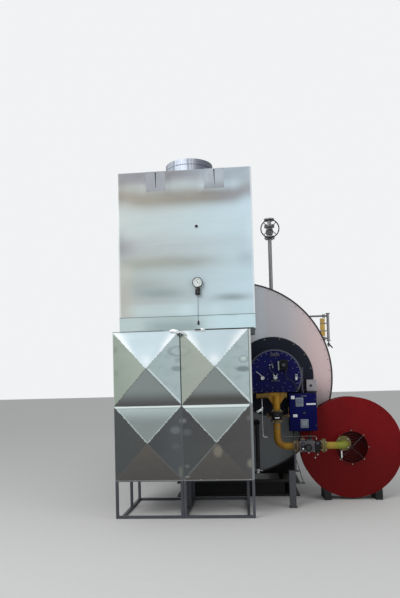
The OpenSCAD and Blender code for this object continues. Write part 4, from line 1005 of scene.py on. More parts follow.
def upper_facet(key, s, t, right, patch):
    """Painted light and shade of a facet in the upper row, with painted glints along its creases. s and t run from -1
    to 1 over the pyramid.
    """
    a, b = abs(s), abs(t)
    depth = 1 - max(a, b)
    off = abs(a - b)
    colour = mixed(*UPPER_FACET_LIGHT[key], smooth(0.0, 0.45 if key == "bottom" else 0.9, depth))
    if key == "top":
        # painted glints along the creases and below the apex
        wide = 0.04 + 0.19 * smooth(0.3, 0.95, b)
        glint = bell(off, 0.0, wide) * (0.5 + 0.65 * smooth(0.2, 0.7, b))
        glint += (0.85 if right else 0.6) * bell(depth, 0.8, 0.15) * bell(s, 0.0, 0.14)
        return mixed(colour, GLINT, min(1.0, glint))
    if key == "left":
        colour = mixed(colour, lin(172, 179, 170), 0.6 if right else 0.0)
        return mixed(colour, lin(140, 148, 138), max(0.0, patch) * 0.35 * smooth(0.5, 0.0, depth))
    if key == "right":
        colour = mixed(colour, lin(144, 156, 156), max(0.0, patch) * 0.45)
        # painted shade along the crease and a painted highlight beside the lower one
        colour = mixed(colour, lin(122, 132, 132), 0.5 * bell(off, 0.0, 0.014))
        if t < 0:
            colour = mixed(colour, GLINT, 0.85 * bell(off, 0.06, 0.022))
        return colour
    # painted shade near the lower edge of the right panel's bottom facet, and along the creases
    if right:
        colour = mixed(colour, lin(72, 71, 66), 0.7 * bell(depth, 0.12, 0.12))
    return mixed(colour, lin(80, 84, 82), 0.7 * bell(off, 0.0, 0.022))


def lower_facet(key, s, t, right, patch):
    """Painted light and shade of a facet in the lower row, with painted highlights along its creases and top edge."""
    a, b = abs(s), abs(t)
    depth = 1 - max(a, b)
    off = abs(a - b)
    colour = mixed(*LOWER_FACET_LIGHT[key], smooth(0.0, 0.45 if key == "top" else 0.9, depth))
    if key == "top":
        # painted highlight along the creases, a painted shade line under the top edge and a painted highlight on that
        # edge
        colour = mixed(colour, lin(208, 222, 218), 0.85 * bell(off, 0.012, 0.02))
        edge = 0.045 if right else 0.022
        colour = mixed(colour, lin(112, 122, 122), 0.5 * bell(depth, edge + 0.022, 0.01))
        return mixed(colour, lin(228, 240, 238), smooth(edge + 0.012, edge - 0.004, depth))
    # painted shade on the side facets of the right panel
    if key == "left" and right:
        colour = mixed(colour, lin(66, 67, 72), 0.7 * smooth(-0.3, 0.6, t))
    if key == "right" and right:
        colour = mixed(colour, lin(78, 74, 74), 0.7)
    # painted highlights along the lower creases
    if t < 0:
        if s < 0:
            share = 0.75 * smooth(0.0, 0.5, depth + 0.2) if right else 0.15
            colour = mixed(colour, lin(128, 138, 138), bell(off, 0.0, 0.018) * share)
        elif not right:
            colour = mixed(colour, lin(106, 114, 116), bell(off, 0.0, 0.02) * 0.6)
    return mixed(colour, lin(104, 108, 108), max(0.0, patch - 0.2) * 0.2)


def panel_sheet(name, node, upper, right, seed):
    """A panel with its low pyramid bent from thin sheet, its dents, stains and painted glows, and painted light and
    shade on its facets and folds.
    """
    looks = bpy.context.scene.boiler_looks
    low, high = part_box(node)
    rise = CASING_Y - low.y
    strip = STRIP if right else 0.0
    u0, u1, v0, v1 = low.x, high.x - strip, low.z, high.z
    half_u, half_v = (u1 - u0) / 2 - RIM, (v1 - v0) / 2 - RIM
    mid_u, mid_v = (u0 + u1) / 2, (v0 + v1) / 2
    steps = np.linspace(-1, 1, looks.panel_steps + 1)
    edge = [0.0, 0.0015, 0.004]
    us = [u0 + e for e in edge] + [mid_u + s * half_u for s in steps] + [u1 - e for e in reversed(edge)]
    vs = [v0 + e for e in edge] + [mid_v + s * half_v for s in steps] + [v1 - e for e in reversed(edge)]
    if strip:
        us += [u1 + 0.002, u1 + 0.004, high.x - 0.004, high.x - 0.0015, high.x]

    def spans(u, v):
        return (u - mid_u) / half_u, (v - mid_v) / half_v

    def front(u, v):
        s, t = spans(u, v)
        a, b = abs(s), abs(t)
        gap = min(u - u0, high.x - u, v - v0, v1 - v)
        height = -ease(max(0.0, gap), 0.003)
        if strip:
            height -= 0.0015 * bell(u, u1, 0.0015)
        if a < 1 and b < 1:
            soft = 0.014
            height += rise * max(0.0, 1 - max(a, b) - soft * math.exp(-abs(a - b) / soft) * 0.35)
            calm = min(1.0, (1 - max(a, b)) * 6) * min(1.0, abs(a - b) * 5)
            height += calm * ripple(u, v, seed, 0.16, looks.wave_depth)
            for dent in DENTS:
                reach = away(u, v, dent)
                height += dent[4] * math.exp(-reach * reach * 1.6) * (1 - 0.9 * reach * reach)
        return height

    def shade(u, v):
        s, t = spans(u, v)
        if abs(t) >= abs(s):
            key = "top" if t > 0 else "bottom"
        else:
            key = "right" if s > 0 else "left"
        patch = noise.noise(Vector((u / 0.09, v / 0.07, seed + 3.0)))
        patch += 0.5 * noise.noise(Vector((u / 0.03, v / 0.03, seed + 5.0)))
        rule = upper_facet if upper else lower_facet
        colour = rule(key, min(1.0, max(-1.0, s)), min(1.0, max(-1.0, t)), right, patch)
        for stain in STAINS_AND_GLOWS:
            colour = mixed(colour, stain[4], stain[5] * smooth(1.35, 0.55, away(u, v, stain)))
        # painted shade round each dent's rim and a painted highlight in the deep one
        for dent in DENTS:
            reach = away(u, v, dent)
            ring = 0.55 if dent[0] > 0 or u < SEAM_X else 0.22
            colour = mixed(colour, lin(128, 138, 136), bell(reach, 1.0, 0.2) * ring)
            if dent[4] > DEEP:
                colour = mixed(colour, lin(214, 224, 222), bell(reach, 0.0, 0.45) * 0.8)
        return rim_tone(u, v, colour)

    def rim_tone(u, v, colour):
        """Colour of the folded edges and of the flat strip at the right, with painted highlights and shade along the
        folds and painted shade in the seams.
        """
        seam = lin(98, 106, 104) if upper else lin(112, 118, 120)
        if u > u1:
            flat = lin(200, 208, 206) if upper else lin(130, 134, 136)
            return mixed(seam, flat, smooth(0.001, 0.004, u - u1))
        side = min(u - u0, u1 - u)
        if side < RIM:
            edge_tone = seam
            if not right and u - u0 < RIM:
                edge_tone = lin(206, 213, 211) if upper else lin(112, 114, 114)
            colour = mixed(edge_tone, colour, smooth(RIM * 0.5, RIM, side))
        if v1 - v < RIM:
            top_tone = lin(196, 210, 213) if upper else lin(230, 241, 239)
            colour = mixed(top_tone, colour, smooth(RIM * 0.5, RIM, v1 - v))
        if v - v0 < RIM:
            low_tone = lin(88, 92, 90) if upper else lin(186, 187, 184)
            colour = mixed(low_tone, colour, smooth(RIM * 0.5, RIM, v - v0))
        return colour

    mesh = closed_sheet(name, us, vs, front, -WALL, shade, middle=(mid_u, mid_v))
    settle(name, mesh, "casing_sheet", node)


def upper_tone(x, z):
    """Colour of the upper front wall at a place, with painted light and shade in bands along its waves and painted
    highlights at its edges.
    """
    across = (x - UPPER_X) / (UPPER_RIGHT - UPPER_X)
    wander = 0.02 * noise.noise(Vector((x / 0.5, z / 1.5, 4.0)))
    broken = 0.88 + 0.24 * noise.noise(Vector((x / 0.35, z / 0.12, 9.0)))
    tone = mixed(lin(176, 184, 183), lin(203, 225, 236), smooth(0.15, 1.0, across))
    # soft painted light and shade in bands from the top downwards: pale reflected bands and streaks between darker
    # bands
    top = mixed(lin(132, 132, 138), lin(170, 183, 193), smooth(0.35, 0.9, across))
    tone = mixed(tone, top, smooth(3.93, 4.05, z))
    tone = mixed(tone, lin(184, 193, 196), 0.6 * bell(z, 4.0, 0.06) * bell(x, -0.52, 0.24))
    tone = mixed(tone, lin(166, 170, 172), 0.6 * bell(z, 3.96, 0.07) * bell(x, -1.1, 0.12))
    middle = 3.82 + 0.06 * smooth(-1.0, -1.3, x) + 0.07 * smooth(0.05, 0.27, x)
    brown = mixed(lin(141, 138, 129), lin(145, 146, 151), smooth(-0.5, 0.2, x))
    tone = mixed(tone, brown, min(1.0, 1.15 * bell(z, middle, 0.135 - 0.02 * across) * broken))
    pale = mixed(lin(184, 195, 193), lin(200, 221, 231), across)
    tone = mixed(tone, pale, 0.8 * bell(z, 3.5, 0.15))
    tone = mixed(tone, lin(168, 177, 180), 0.75 * bell(z, 3.25, 0.1) * (1 - 0.65 * across))
    for height, share in ((3.29, 0.3), (3.16, 0.25)):
        streak = bell(z, height + 0.02 * x + wander, 0.014) * smooth(0.1, 0.35, across) * smooth(1.0, 0.8, across)
        tone = mixed(tone, lin(196, 207, 210), share * streak * broken)
    second = 0.92 * bell(z, 3.018 + wander + 0.02 * across, 0.1) * (1 - 0.75 * smooth(0.4, 0.95, across))
    tone = mixed(tone, lin(152, 156, 148), min(1.0, second * smooth(-0.02, 0.06, across) * broken))
    pale = mixed(lin(172, 183, 179), lin(198, 222, 232), across)
    tone = mixed(tone, pale, 0.7 * bell(z, 2.88, 0.1))
    tone = mixed(tone, lin(155, 166, 164), 0.55 * bell(z, 2.76, 0.1) * bell(x, -1.02, 0.24))
    tone = mixed(tone, lin(164, 183, 196), 0.45 * bell(z, 3.06, 0.1) * smooth(0.02, 0.2, x))
    for x0, z0, wide, tall in ((-0.84, 2.665, 0.3, 0.06), (0.02, 2.6, 0.22, 0.045)):
        tone = mixed(tone, lin(145, 161, 163), 0.9 * bell(x, x0, wide) * bell(z, z0 + wander, tall))
    # painted light along the foot of the wall, with brighter painted highlights in it
    lit_foot = mixed(lin(186, 200, 199), lin(198, 222, 231), across)
    tone = mixed(tone, lit_foot, 0.9 * smooth(2.57, 2.51, z))
    for x0, wide, share in ((-0.52, 0.1, 0.5), (-0.17, 0.09, 0.5), (0.2, 0.05, 0.3)):
        tone = mixed(tone, lin(206, 230, 236), share * bell(x, x0, wide) * smooth(2.56, 2.5, z))
    # left and right borders, with painted highlights along both eased edges
    tone = mixed(tone, lin(184, 184, 177), 0.8 * bell(x, UPPER_X + 0.07, 0.1) * smooth(3.1, 2.95, z))
    tone = mixed(tone, lin(148, 150, 152), 0.95 * bell(x, UPPER_X + 0.05, 0.16) * bell(z, 3.23, 0.12))
    fine = noise.noise(Vector((x / 0.5, z / 0.03, 2.0)))
    tone = mixed(tone, lin(150, 158, 158), max(0.0, fine) * 0.1)
    tone = mixed(tone, lin(226, 230, 232), 0.8 * smooth(UPPER_X + 0.018, UPPER_X + 0.006, x))
    return mixed(tone, lin(232, 240, 246), 0.8 * smooth(UPPER_RIGHT - 0.028, UPPER_RIGHT - 0.012, x))


def upper_wave(x, z):
    """Oil-canning of the upper front wall, as a height before its flat plane that is never positive."""
    depth = bpy.context.scene.boiler_looks.wave_depth
    calm = smooth(0.0, 0.1, x - UPPER_X) * smooth(0.0, 0.1, UPPER_RIGHT - x)
    calm *= smooth(0.0, 0.1, z - BAND_TOP) * smooth(0.0, 0.08, UPPER_TOP - z)
    for slot in SLOTS:
        calm *= smooth(0.0, 0.08, max(abs(x - slot) - COVER_HALF, COVER_FOOT - z))
    roll = math.sin((z - 2.4) * 2 * math.pi / 0.72 + 0.5 * math.sin(x * 2.2)) * 0.9
    roll += noise.noise(Vector((x / 0.5, z / 0.22, 1.0))) * 1.3
    roll += noise.noise(Vector((x / 0.12, z / 0.1, 6.0))) * 0.25
    return -max(0.0, 1.2 + roll) * depth * calm


def wall_sheet(name, low, high, axis, outward, seed, tone):
    """Wavy closed wall whose outer face looks along an axis, inside its CAD box."""
    depth = bpy.context.scene.boiler_looks.wave_depth
    low, high = Vector(low), Vector(high)
    u_axis = 0 if axis == 1 else 1
    face = high[axis] if outward > 0 else low[axis]
    thick = high[axis] - low[axis]
    us = grid_lines(low[u_axis], high[u_axis], round((high[u_axis] - low[u_axis]) / 0.03))
    vs = grid_lines(low.z, high.z, round((high.z - low.z) / 0.03))

    def front(u, v):
        calm = smooth(0, 0.1, min(u - us[0], us[-1] - u)) * smooth(0, 0.1, min(v - vs[0], vs[-1] - v))
        roll = 1.0 + noise.noise(Vector((u / 0.4, v / 0.25, seed)))
        return -roll * depth * calm - ease(min(u - us[0], us[-1] - u, v - vs[0], vs[-1] - v), 0.003)

    def put(u, v, h):
        place = [0.0, 0.0, v]
        place[u_axis] = u
        place[axis] = face + outward * h
        return tuple(place)

    return closed_sheet(name, us, vs, front, -thick, tone, put)


def side_tone(seed, warm):
    """Colour rule of a side or rear wall, banded in painted light and shade like the front but plainer."""

    def tone(u, v):
        base = mixed(lin(166, 175, 176), lin(190, 200, 202), 0.5 + 0.5 * math.sin(v * 5.2 + seed))
        base = mixed(base, lin(*warm), 0.35 * max(0.0, noise.noise(Vector((u / 0.5, v / 0.3, seed)))) * 2)
        return base

    return tone


# Settings


class BoilerLooks(bpy.types.PropertyGroup):
    """Sizes and colours of the boiler's visible finish."""

    wave_depth: FloatProperty(
        name="Wave depth", description="Height of the waves in the casing's thin sheet", default=0.0022, unit="LENGTH"
    )
    panel_steps: IntProperty(
        name="Panel steps", description="Grid steps across each pyramid panel, an even number", default=92
    )
    cladding: FloatVectorProperty(
        name="Cladding", description="Colour of the shell's cladding", default=lin(208, 206, 211), subtype="COLOR"
    )
    burner: FloatVectorProperty(
        name="Burner", description="Colour of the burner head", default=lin(15, 19, 80), subtype="COLOR"
    )
    cabinet: FloatVectorProperty(
        name="Cabinet", description="Colour of the control cabinet", default=lin(11, 14, 72), subtype="COLOR"
    )
    fan: FloatVectorProperty(
        name="Fan", description="Colour of the fan and its duct", default=lin(114, 8, 13), subtype="COLOR"
    )
    gas: FloatVectorProperty(
        name="Gas pipes", description="Colour of the gas pipes", default=lin(144, 107, 4), subtype="COLOR"
    )


class BoilerStage(bpy.types.PropertyGroup):
    """The floor, the lamps and the background."""

    floor: FloatVectorProperty(
        name="Floor", description="Colour of the studio floor", default=(0.62, 0.62, 0.61), subtype="COLOR"
    )
    backdrop: FloatProperty(name="Backdrop", description="Brightness of the background, 1 is white", default=0.9)
    ambient: FloatProperty(name="Ambient", description="Strength of the even light from all round", default=0.58)
    key: FloatProperty(name="Key lamp", description="Power of the large lamp", default=400.0, unit="POWER")
    fill: FloatProperty(name="Fill lamp", description="Power of the smaller lamp", default=130.0, unit="POWER")


# Operators


class BOILER_OT_stage(bpy.types.Operator):
    """Makes the camera, the floor, the lamps and the background"""

    bl_idname = "boiler.stage"
    bl_label = "Set the stage"

    def execute(self, context):
        scene = context.scene
        stage = scene.boiler_stage
        scene.view_settings.view_transform = "Standard"
        self.camera(scene)
        self.floor()
        # name, place, target, width and power
        self.lamp("Key", (-4.5, -7.0, 7.5), (0.0, 0.0, 1.8), 6.0, stage.key)
        self.lamp("Fill", (6.5, -6.0, 4.0), (0.5, 0.0, 1.4), 5.0, stage.fill)
        self.background(scene, stage)
        return {"FINISHED"}

    @staticmethod
    def camera(scene):
        data = bpy.data.cameras.new("Camera")
        data.sensor_width = SENSOR
        data.lens = FOCAL * SENSOR
        data.shift_y = RISE
        camera = new_object("Camera", data)
        ahead = Vector((math.sin(YAW) * math.cos(PITCH), math.cos(YAW) * math.cos(PITCH), math.sin(PITCH)))
        right = Vector((math.cos(YAW), -math.sin(YAW), 0.0))
        up = right.cross(ahead)
        c, s = math.cos(ROLL), math.sin(ROLL)
        turn = Matrix((right * c - up * s, right * s + up * c, -ahead)).transposed().to_4x4()
        camera.matrix_world = Matrix.Translation(EYE) @ turn
        scene.camera = camera

    @staticmethod
    def floor():
        mesh = bpy.data.meshes.new("studio_floor")
        reach = 60.0
        corners = [(-reach, -reach, 0), (reach, -reach, 0), (reach, reach, 0), (-reach, reach, 0)]
        mesh.from_pydata(corners, [], [(0, 1, 2, 3)])
        mesh.materials.append(concrete())
        floor = new_object("studio_floor", mesh)

    @staticmethod
    def lamp(name, place, target, size, power):
        data = bpy.data.lights.new(name, "AREA")
        data.shape = "DISK"
        data.size = size
        data.energy = power
        lamp = new_object(name, data)
        lamp.location = place
        lamp.rotation_euler = (Vector(target) - Vector(place)).to_track_quat("-Z", "Y").to_euler()

    @staticmethod
    def background(scene, stage):
        world = bpy.data.worlds.new("Studio")
        scene.world = world
        world.use_nodes = True
        nodes, links = world.node_tree.nodes, world.node_tree.links
        nodes.clear()
        path = nodes.new("ShaderNodeLightPath")
        both = nodes.new("ShaderNodeMath")
        both.operation = "MAXIMUM"
        links.new(path.outputs["Is Camera Ray"], both.inputs[0])
        links.new(path.outputs["Is Transmission Ray"], both.inputs[1])
        shades = []
        for strength, colour in ((stage.ambient, (0.97, 0.99, 1.0, 1.0)), (stage.backdrop, (0.98, 0.99, 1.0, 1.0))):
            shade = nodes.new("ShaderNodeBackground")
            shade.inputs["Color"].default_value = colour
            shade.inputs["Strength"].default_value = strength
            shades.append(shade)
        mix = nodes.new("ShaderNodeMixShader")
        links.new(both.outputs[0], mix.inputs[0])
        links.new(shades[0].outputs[0], mix.inputs[1])
        links.new(shades[1].outputs[0], mix.inputs[2])
        links.new(mix.outputs[0], nodes.new("ShaderNodeOutputWorld").inputs["Surface"])


# The finish of every CAD node that stays
NODE_FINISHES = {
    "cladding": "shell front_plate rear_plate",
    "trim": "front_trim rear_trim",
    "base_steel": "saddles skid_beams cross_beams fan_feet",
    "fittings": "rear_door safety_valve manhole blowdown_valve",
    "pipe_steel": "main_steam_nozzle steam_riser feed_nozzle level_gauge",
    "black_iron": "handwheel butterfly_valve drain_pipe",
    "burner_black": "burner_plate",
    "burner_blue": "burner_head",
    "cabinet_blue": "control_cabinet cabinet_door",
    "rim_grey": "burner_rim",
    "silver": "burner_fittings impulse_line",
    "grey_box": "ignition_box gas_valve_block",
    "red": "fan_volute",
    "duct": "air_duct",
    "motor": "fan_motor",
    "yellow": "gas_manifold gas_riser",
    "yellow_pale": "gas_inlet",
    "grey_steel": "gas_stand",
    "sheet_plain": "flue_duct casing_deck upper_roof slot_covers upper_side_walls upper_rear_wall upper_front_wall",
    "sheet_band": "base_band",
    "sheet_dim": "lower_side_walls lower_rear_wall casing_floor"
    " panel_top_left panel_top_right panel_bottom_left panel_bottom_right",
    "frame_steel": "leg_frame_left leg_frame_right",
    "zinc": "flue_spigot",
    "case_black": "thermometer",
}


class BOILER_OT_frame_finishes(bpy.types.Operator):
    """Gives every CAD node that stays its own finish"""

    bl_idname = "boiler.frame_finishes"
    bl_label = "Finish the CAD nodes"

    def execute(self, context):
        for look, nodes in NODE_FINISHES.items():
            for node in nodes.split():
                piece = NODES[node]
                for slot in piece.material_slots:
                    slot.material = finish(look)
                if not piece.material_slots:
                    piece.data.materials.append(finish(look))
        return {"FINISHED"}


class BOILER_OT_front_panels(bpy.types.Operator):
    """Bends the four pyramid panels from thin sheet, with their dents and smudges, and painted light and shade on
    their facets
    """

    bl_idname = "boiler.front_panels"
    bl_label = "Front panels"

    def execute(self, context):
        names = ("top_left", "top_right", "bottom_left", "bottom_right")
        for seed, name in enumerate(names, start=1):
            panel_sheet(f"front_sheet_{name}", f"panel_{name}", "top" in name, "right" in name, float(seed))
        return {"FINISHED"}


class BOILER_OT_upper_walls(bpy.types.Operator):
    """Makes the upper casing's wavy sheets, with the two slots in the front one"""

    bl_idname = "boiler.upper_walls"
    bl_label = "Upper casing walls"

    def execute(self, context):
        marks = [x + side * SLOT_W / 2 for x in SLOTS for side in (-1, 1)]
        us = grid_lines(UPPER_X, UPPER_RIGHT, 62, marks)
        vs = grid_lines(BAND_TOP, UPPER_TOP, 78, [UPPER_TOP - SLOT_H])

        def in_slot(x, z):
            return z > UPPER_TOP - SLOT_H and any(abs(x - s) < SLOT_W / 2 for s in SLOTS)

        def front(x, z):
            gap = min(x - UPPER_X, UPPER_RIGHT - x, UPPER_TOP - z)
            return upper_wave(x, z) - ease(max(0.0, gap), 0.004)

        mesh = closed_sheet("upper_front_sheet", us, vs, front, -WALL, upper_tone, missing=in_slot)
        settle("upper_front_sheet", mesh, "casing_sheet", "upper_front_wall")
        low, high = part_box("upper_side_walls")
        left = wall_sheet("l", low, (low.x + WALL, high.y, high.z), 0, -1, 11.0, side_tone(1.0, (150, 140, 132)))
        right = wall_sheet("r", (high.x - WALL, low.y, low.z), high, 0, 1, 12.0, side_tone(2.2, (150, 140, 132)))
        both = bmesh.new()
        both.from_mesh(left)
        both.from_mesh(right)
        both.to_mesh(left)
        both.free()
        bpy.data.meshes.remove(right)
        settle("upper_side_sheets", left, "casing_sheet", "upper_side_walls")
        low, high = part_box("upper_rear_wall")
        rear = wall_sheet("rear", low, high, 1, 1, 13.0, side_tone(3.0, (140, 134, 128)))
        settle("upper_rear_sheet", rear, "casing_sheet", "upper_rear_wall")
        return {"FINISHED"}


class BOILER_OT_casing_trim(bpy.types.Operator):
    """Adds the casing's screws, dark joints that partly paint the shade of its gaps, grommet, bent flap, slot covers
    and spigot rivets
    """

    bl_idname = "boiler.casing_trim"
    bl_label = "Casing trim"

    def execute(self, context):
        trim = Piece("casing_trim")
        self.joints(trim)
        self.latch(trim)
        self.screw_rows(trim)
        trim.done("casing_sheet")
        self.slot_plates()
        self.spigot()
        return {"FINISHED"}

    @staticmethod
    def joints(trim):
        """Grommet and cable gland, the dark joint over the foot band and the dark strips under it, each partly a seal
        and partly painted shade of the gap.
        """
        grommet = (-0.381, CASING_Y, 3.462)
        trim.ring([(0.01, 0.0), (0.016, 0.001), (0.017, 0.004), (0.011, 0.006)], trim.at(*grommet), "rubber", 24)
        trim.disc(0.011, 0.002, trim.at(-0.381, CASING_Y + 0.0005, 3.462), "ink", 0.0003, 24)
        gland = [(-0.01, -0.024), (0.01, -0.024), (0.014, -0.006), (0.009, 0.022), (-0.004, 0.028), (-0.011, 0.004)]
        trim.prism(gland, 0.01, trim.at(-0.385, CASING_Y, 2.302), "rubber", 0.003)
        # left, right, foot and top of each strip, how far it stands out and goes in, finish and bevel
        # the dark strips stand partly for seals and partly for painted shade in the gaps between the sheets
        strips = (
            (UPPER_X + 0.002, UPPER_RIGHT - 0.002, BAND_TOP - 0.005, BAND_TOP + 0.001, 0.0012, 0.002, "joint", 0.0006),
            (-0.43, UPPER_RIGHT - 0.02, LOWER_TOP - 0.003, UPPER_Z + 0.003, 0.0015, 0.004, "rubber", 0.001),
            (UPPER_X + 0.01, -0.8, LOWER_TOP, UPPER_Z, 0.0015, 0.004, "joint", 0.001),
        )
        for left, right, foot, top, out, deep, look, bevel in strips:
            trim.box((left, CASING_Y - out, foot), (right, CASING_Y + deep, top), look, bevel)

    @staticmethod
    def screw_rows(trim):
        """Rows of screws along the edges of the sheets."""
        right = CASING_X + CASING_W
        for z in (LEG_H + 0.008, 1.3295):
            trim.screws((CASING_X + 0.05, CASING_Y, z), (right - 0.05, CASING_Y, z), 0.19, 0.009)
        for z in (BAND_TOP - 0.012, UPPER_Z + 0.012):
            trim.screws((UPPER_X + 0.03, CASING_Y, z), (UPPER_RIGHT - 0.03, CASING_Y, z), 0.26, 0.007)
        for x in (UPPER_X + 0.014, UPPER_RIGHT - 0.014):
            trim.screws((x, CASING_Y, BAND_TOP + 0.08), (x, CASING_Y, UPPER_TOP - 0.03), 0.31, 0.007)
        for x, out in ((UPPER_X, "-x"), (UPPER_RIGHT, "x")):
            for y in (CASING_Y + 0.03, CASING_BACK - 0.03):
                trim.screws((x, y, BAND_TOP + 0.06), (x, y, UPPER_TOP - 0.06), 0.25, 0.008, out)
        for z in (BAND_TOP + 0.05, UPPER_TOP - 0.05):
            trim.screws((UPPER_X + 0.05, CASING_BACK, z), (UPPER_RIGHT - 0.05, CASING_BACK, z), 0.2, 0.008, "y")

    @staticmethod
    def latch(trim):
        """Bent bright flap over the top of the seam, its tie and the clip beside it."""
        seam, top = SEAM_X, LOWER_TOP
        flap = [(-0.12, 0.004), (-0.085, 0.016), (-0.04, 0.012), (0.0, -0.006), (0.04, -0.01), (0.072, -0.03)]
        flap += [(0.094, -0.072), (0.074, -0.07), (0.048, -0.046), (0.01, -0.034), (-0.03, -0.036)]
        flap += [(-0.07, -0.022), (-0.11, -0.024)]
        trim.prism(flap, 0.003, trim.at(seam, CASING_Y - 0.012, top), "white_sheet", 0.001)
        fold = [(-0.112, 0.002), (-0.03, 0.004), (0.03, -0.018), (0.086, -0.052)]
        fold += [(0.08, -0.062), (0.026, -0.032), (-0.03, -0.012)]
        trim.prism(fold, 0.007, trim.at(seam, CASING_Y - 0.012, top), "white_sheet", 0.002)
        y = CASING_Y - 0.02
        turns = np.linspace(0.4, 5.9, 12)
        tie = [(seam + 0.004 + 0.018 * math.cos(t), y - 0.001, top - 0.05 + 0.016 * math.sin(t)) for t in turns]
        trim.tube(tie, 0.0045, "rubber", 8)
        trim.tube([(seam - 0.034, y, top - 0.048), (seam + 0.04, y, top - 0.054)], 0.005, "rubber", 8)
        trim.disc(0.008, 0.006, trim.at(seam + 0.01, y, top - 0.05), "silver", 0.002, 16)
        clip, hook = CASING_Y - 0.005, CASING_Y - 0.006
        trim.box((seam + 0.185, clip, top - 0.014), (seam + 0.256, clip + 0.004, top - 0.002), "grey_box", 0.001)
        trim.box((seam + 0.254, hook, top - 0.018), (seam + 0.306, hook + 0.005, top + 0.018), "white_sheet", 0.002)

    @staticmethod
    def slot_plates():
        """Cover plates of the two slots, each with its tapered slot and the dark space behind it."""
        plates = Piece("slot_plates")
        low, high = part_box("slot_covers")
        foot, tip, top, half = low.z, UPPER_TOP - SLOT_H, high.z, COVER_HALF
        for x, lean in zip(SLOTS, (0.0, 0.006)):
            slot = [(0.007, top), (0.002 + lean, tip), (-0.002 + lean, tip), (-0.007, top)]
            outline = [(-half, foot), (half, foot), (half, top), *slot, (-half, top)]
            plates.prism(outline, 0.0018, plates.at(x, CASING_Y, 0.0), "sheet_cover")
            # a black plate behind each slot stands for the shade inside the casing
            back = CASING_Y + 0.012
            plates.box((x - 0.0069, back, tip), (x + 0.0069, back + 0.004, top - 0.001), "ink", 0.0)
            for dx in (-0.106, 0.106):
                for dz in (0.012, top - foot - 0.015):
                    plates.lathe(SCREW_HEAD, plates.at(x + dx, CASING_Y - 0.001, foot + dz), "box_grey", 8)
        plates.done("casing_sheet", "slot_covers")

    @staticmethod
    def spigot():
        """Rivets round the spigot's bead and the screws of its foot."""
        low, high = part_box("flue_spigot")
        spigot = Piece("spigot_bands", ((low.x + high.x) / 2, (low.y + high.y) / 2, low.z))
        rivets = 40
        for k in range(rivets):
            turned = spigot.at(0, 0, 0, "z") @ Matrix.Rotation(2 * math.pi * k / rivets, 4, "Z")
            spigot.lathe(RIVET, turned @ at(0.3, 0, 0.19, "x"), "bolt", 8)
        spigot.bolts(spigot.at(0, 0, 0.004, "z"), 0.322, 16, 0.01)
        spigot.done("spigot_zinc")


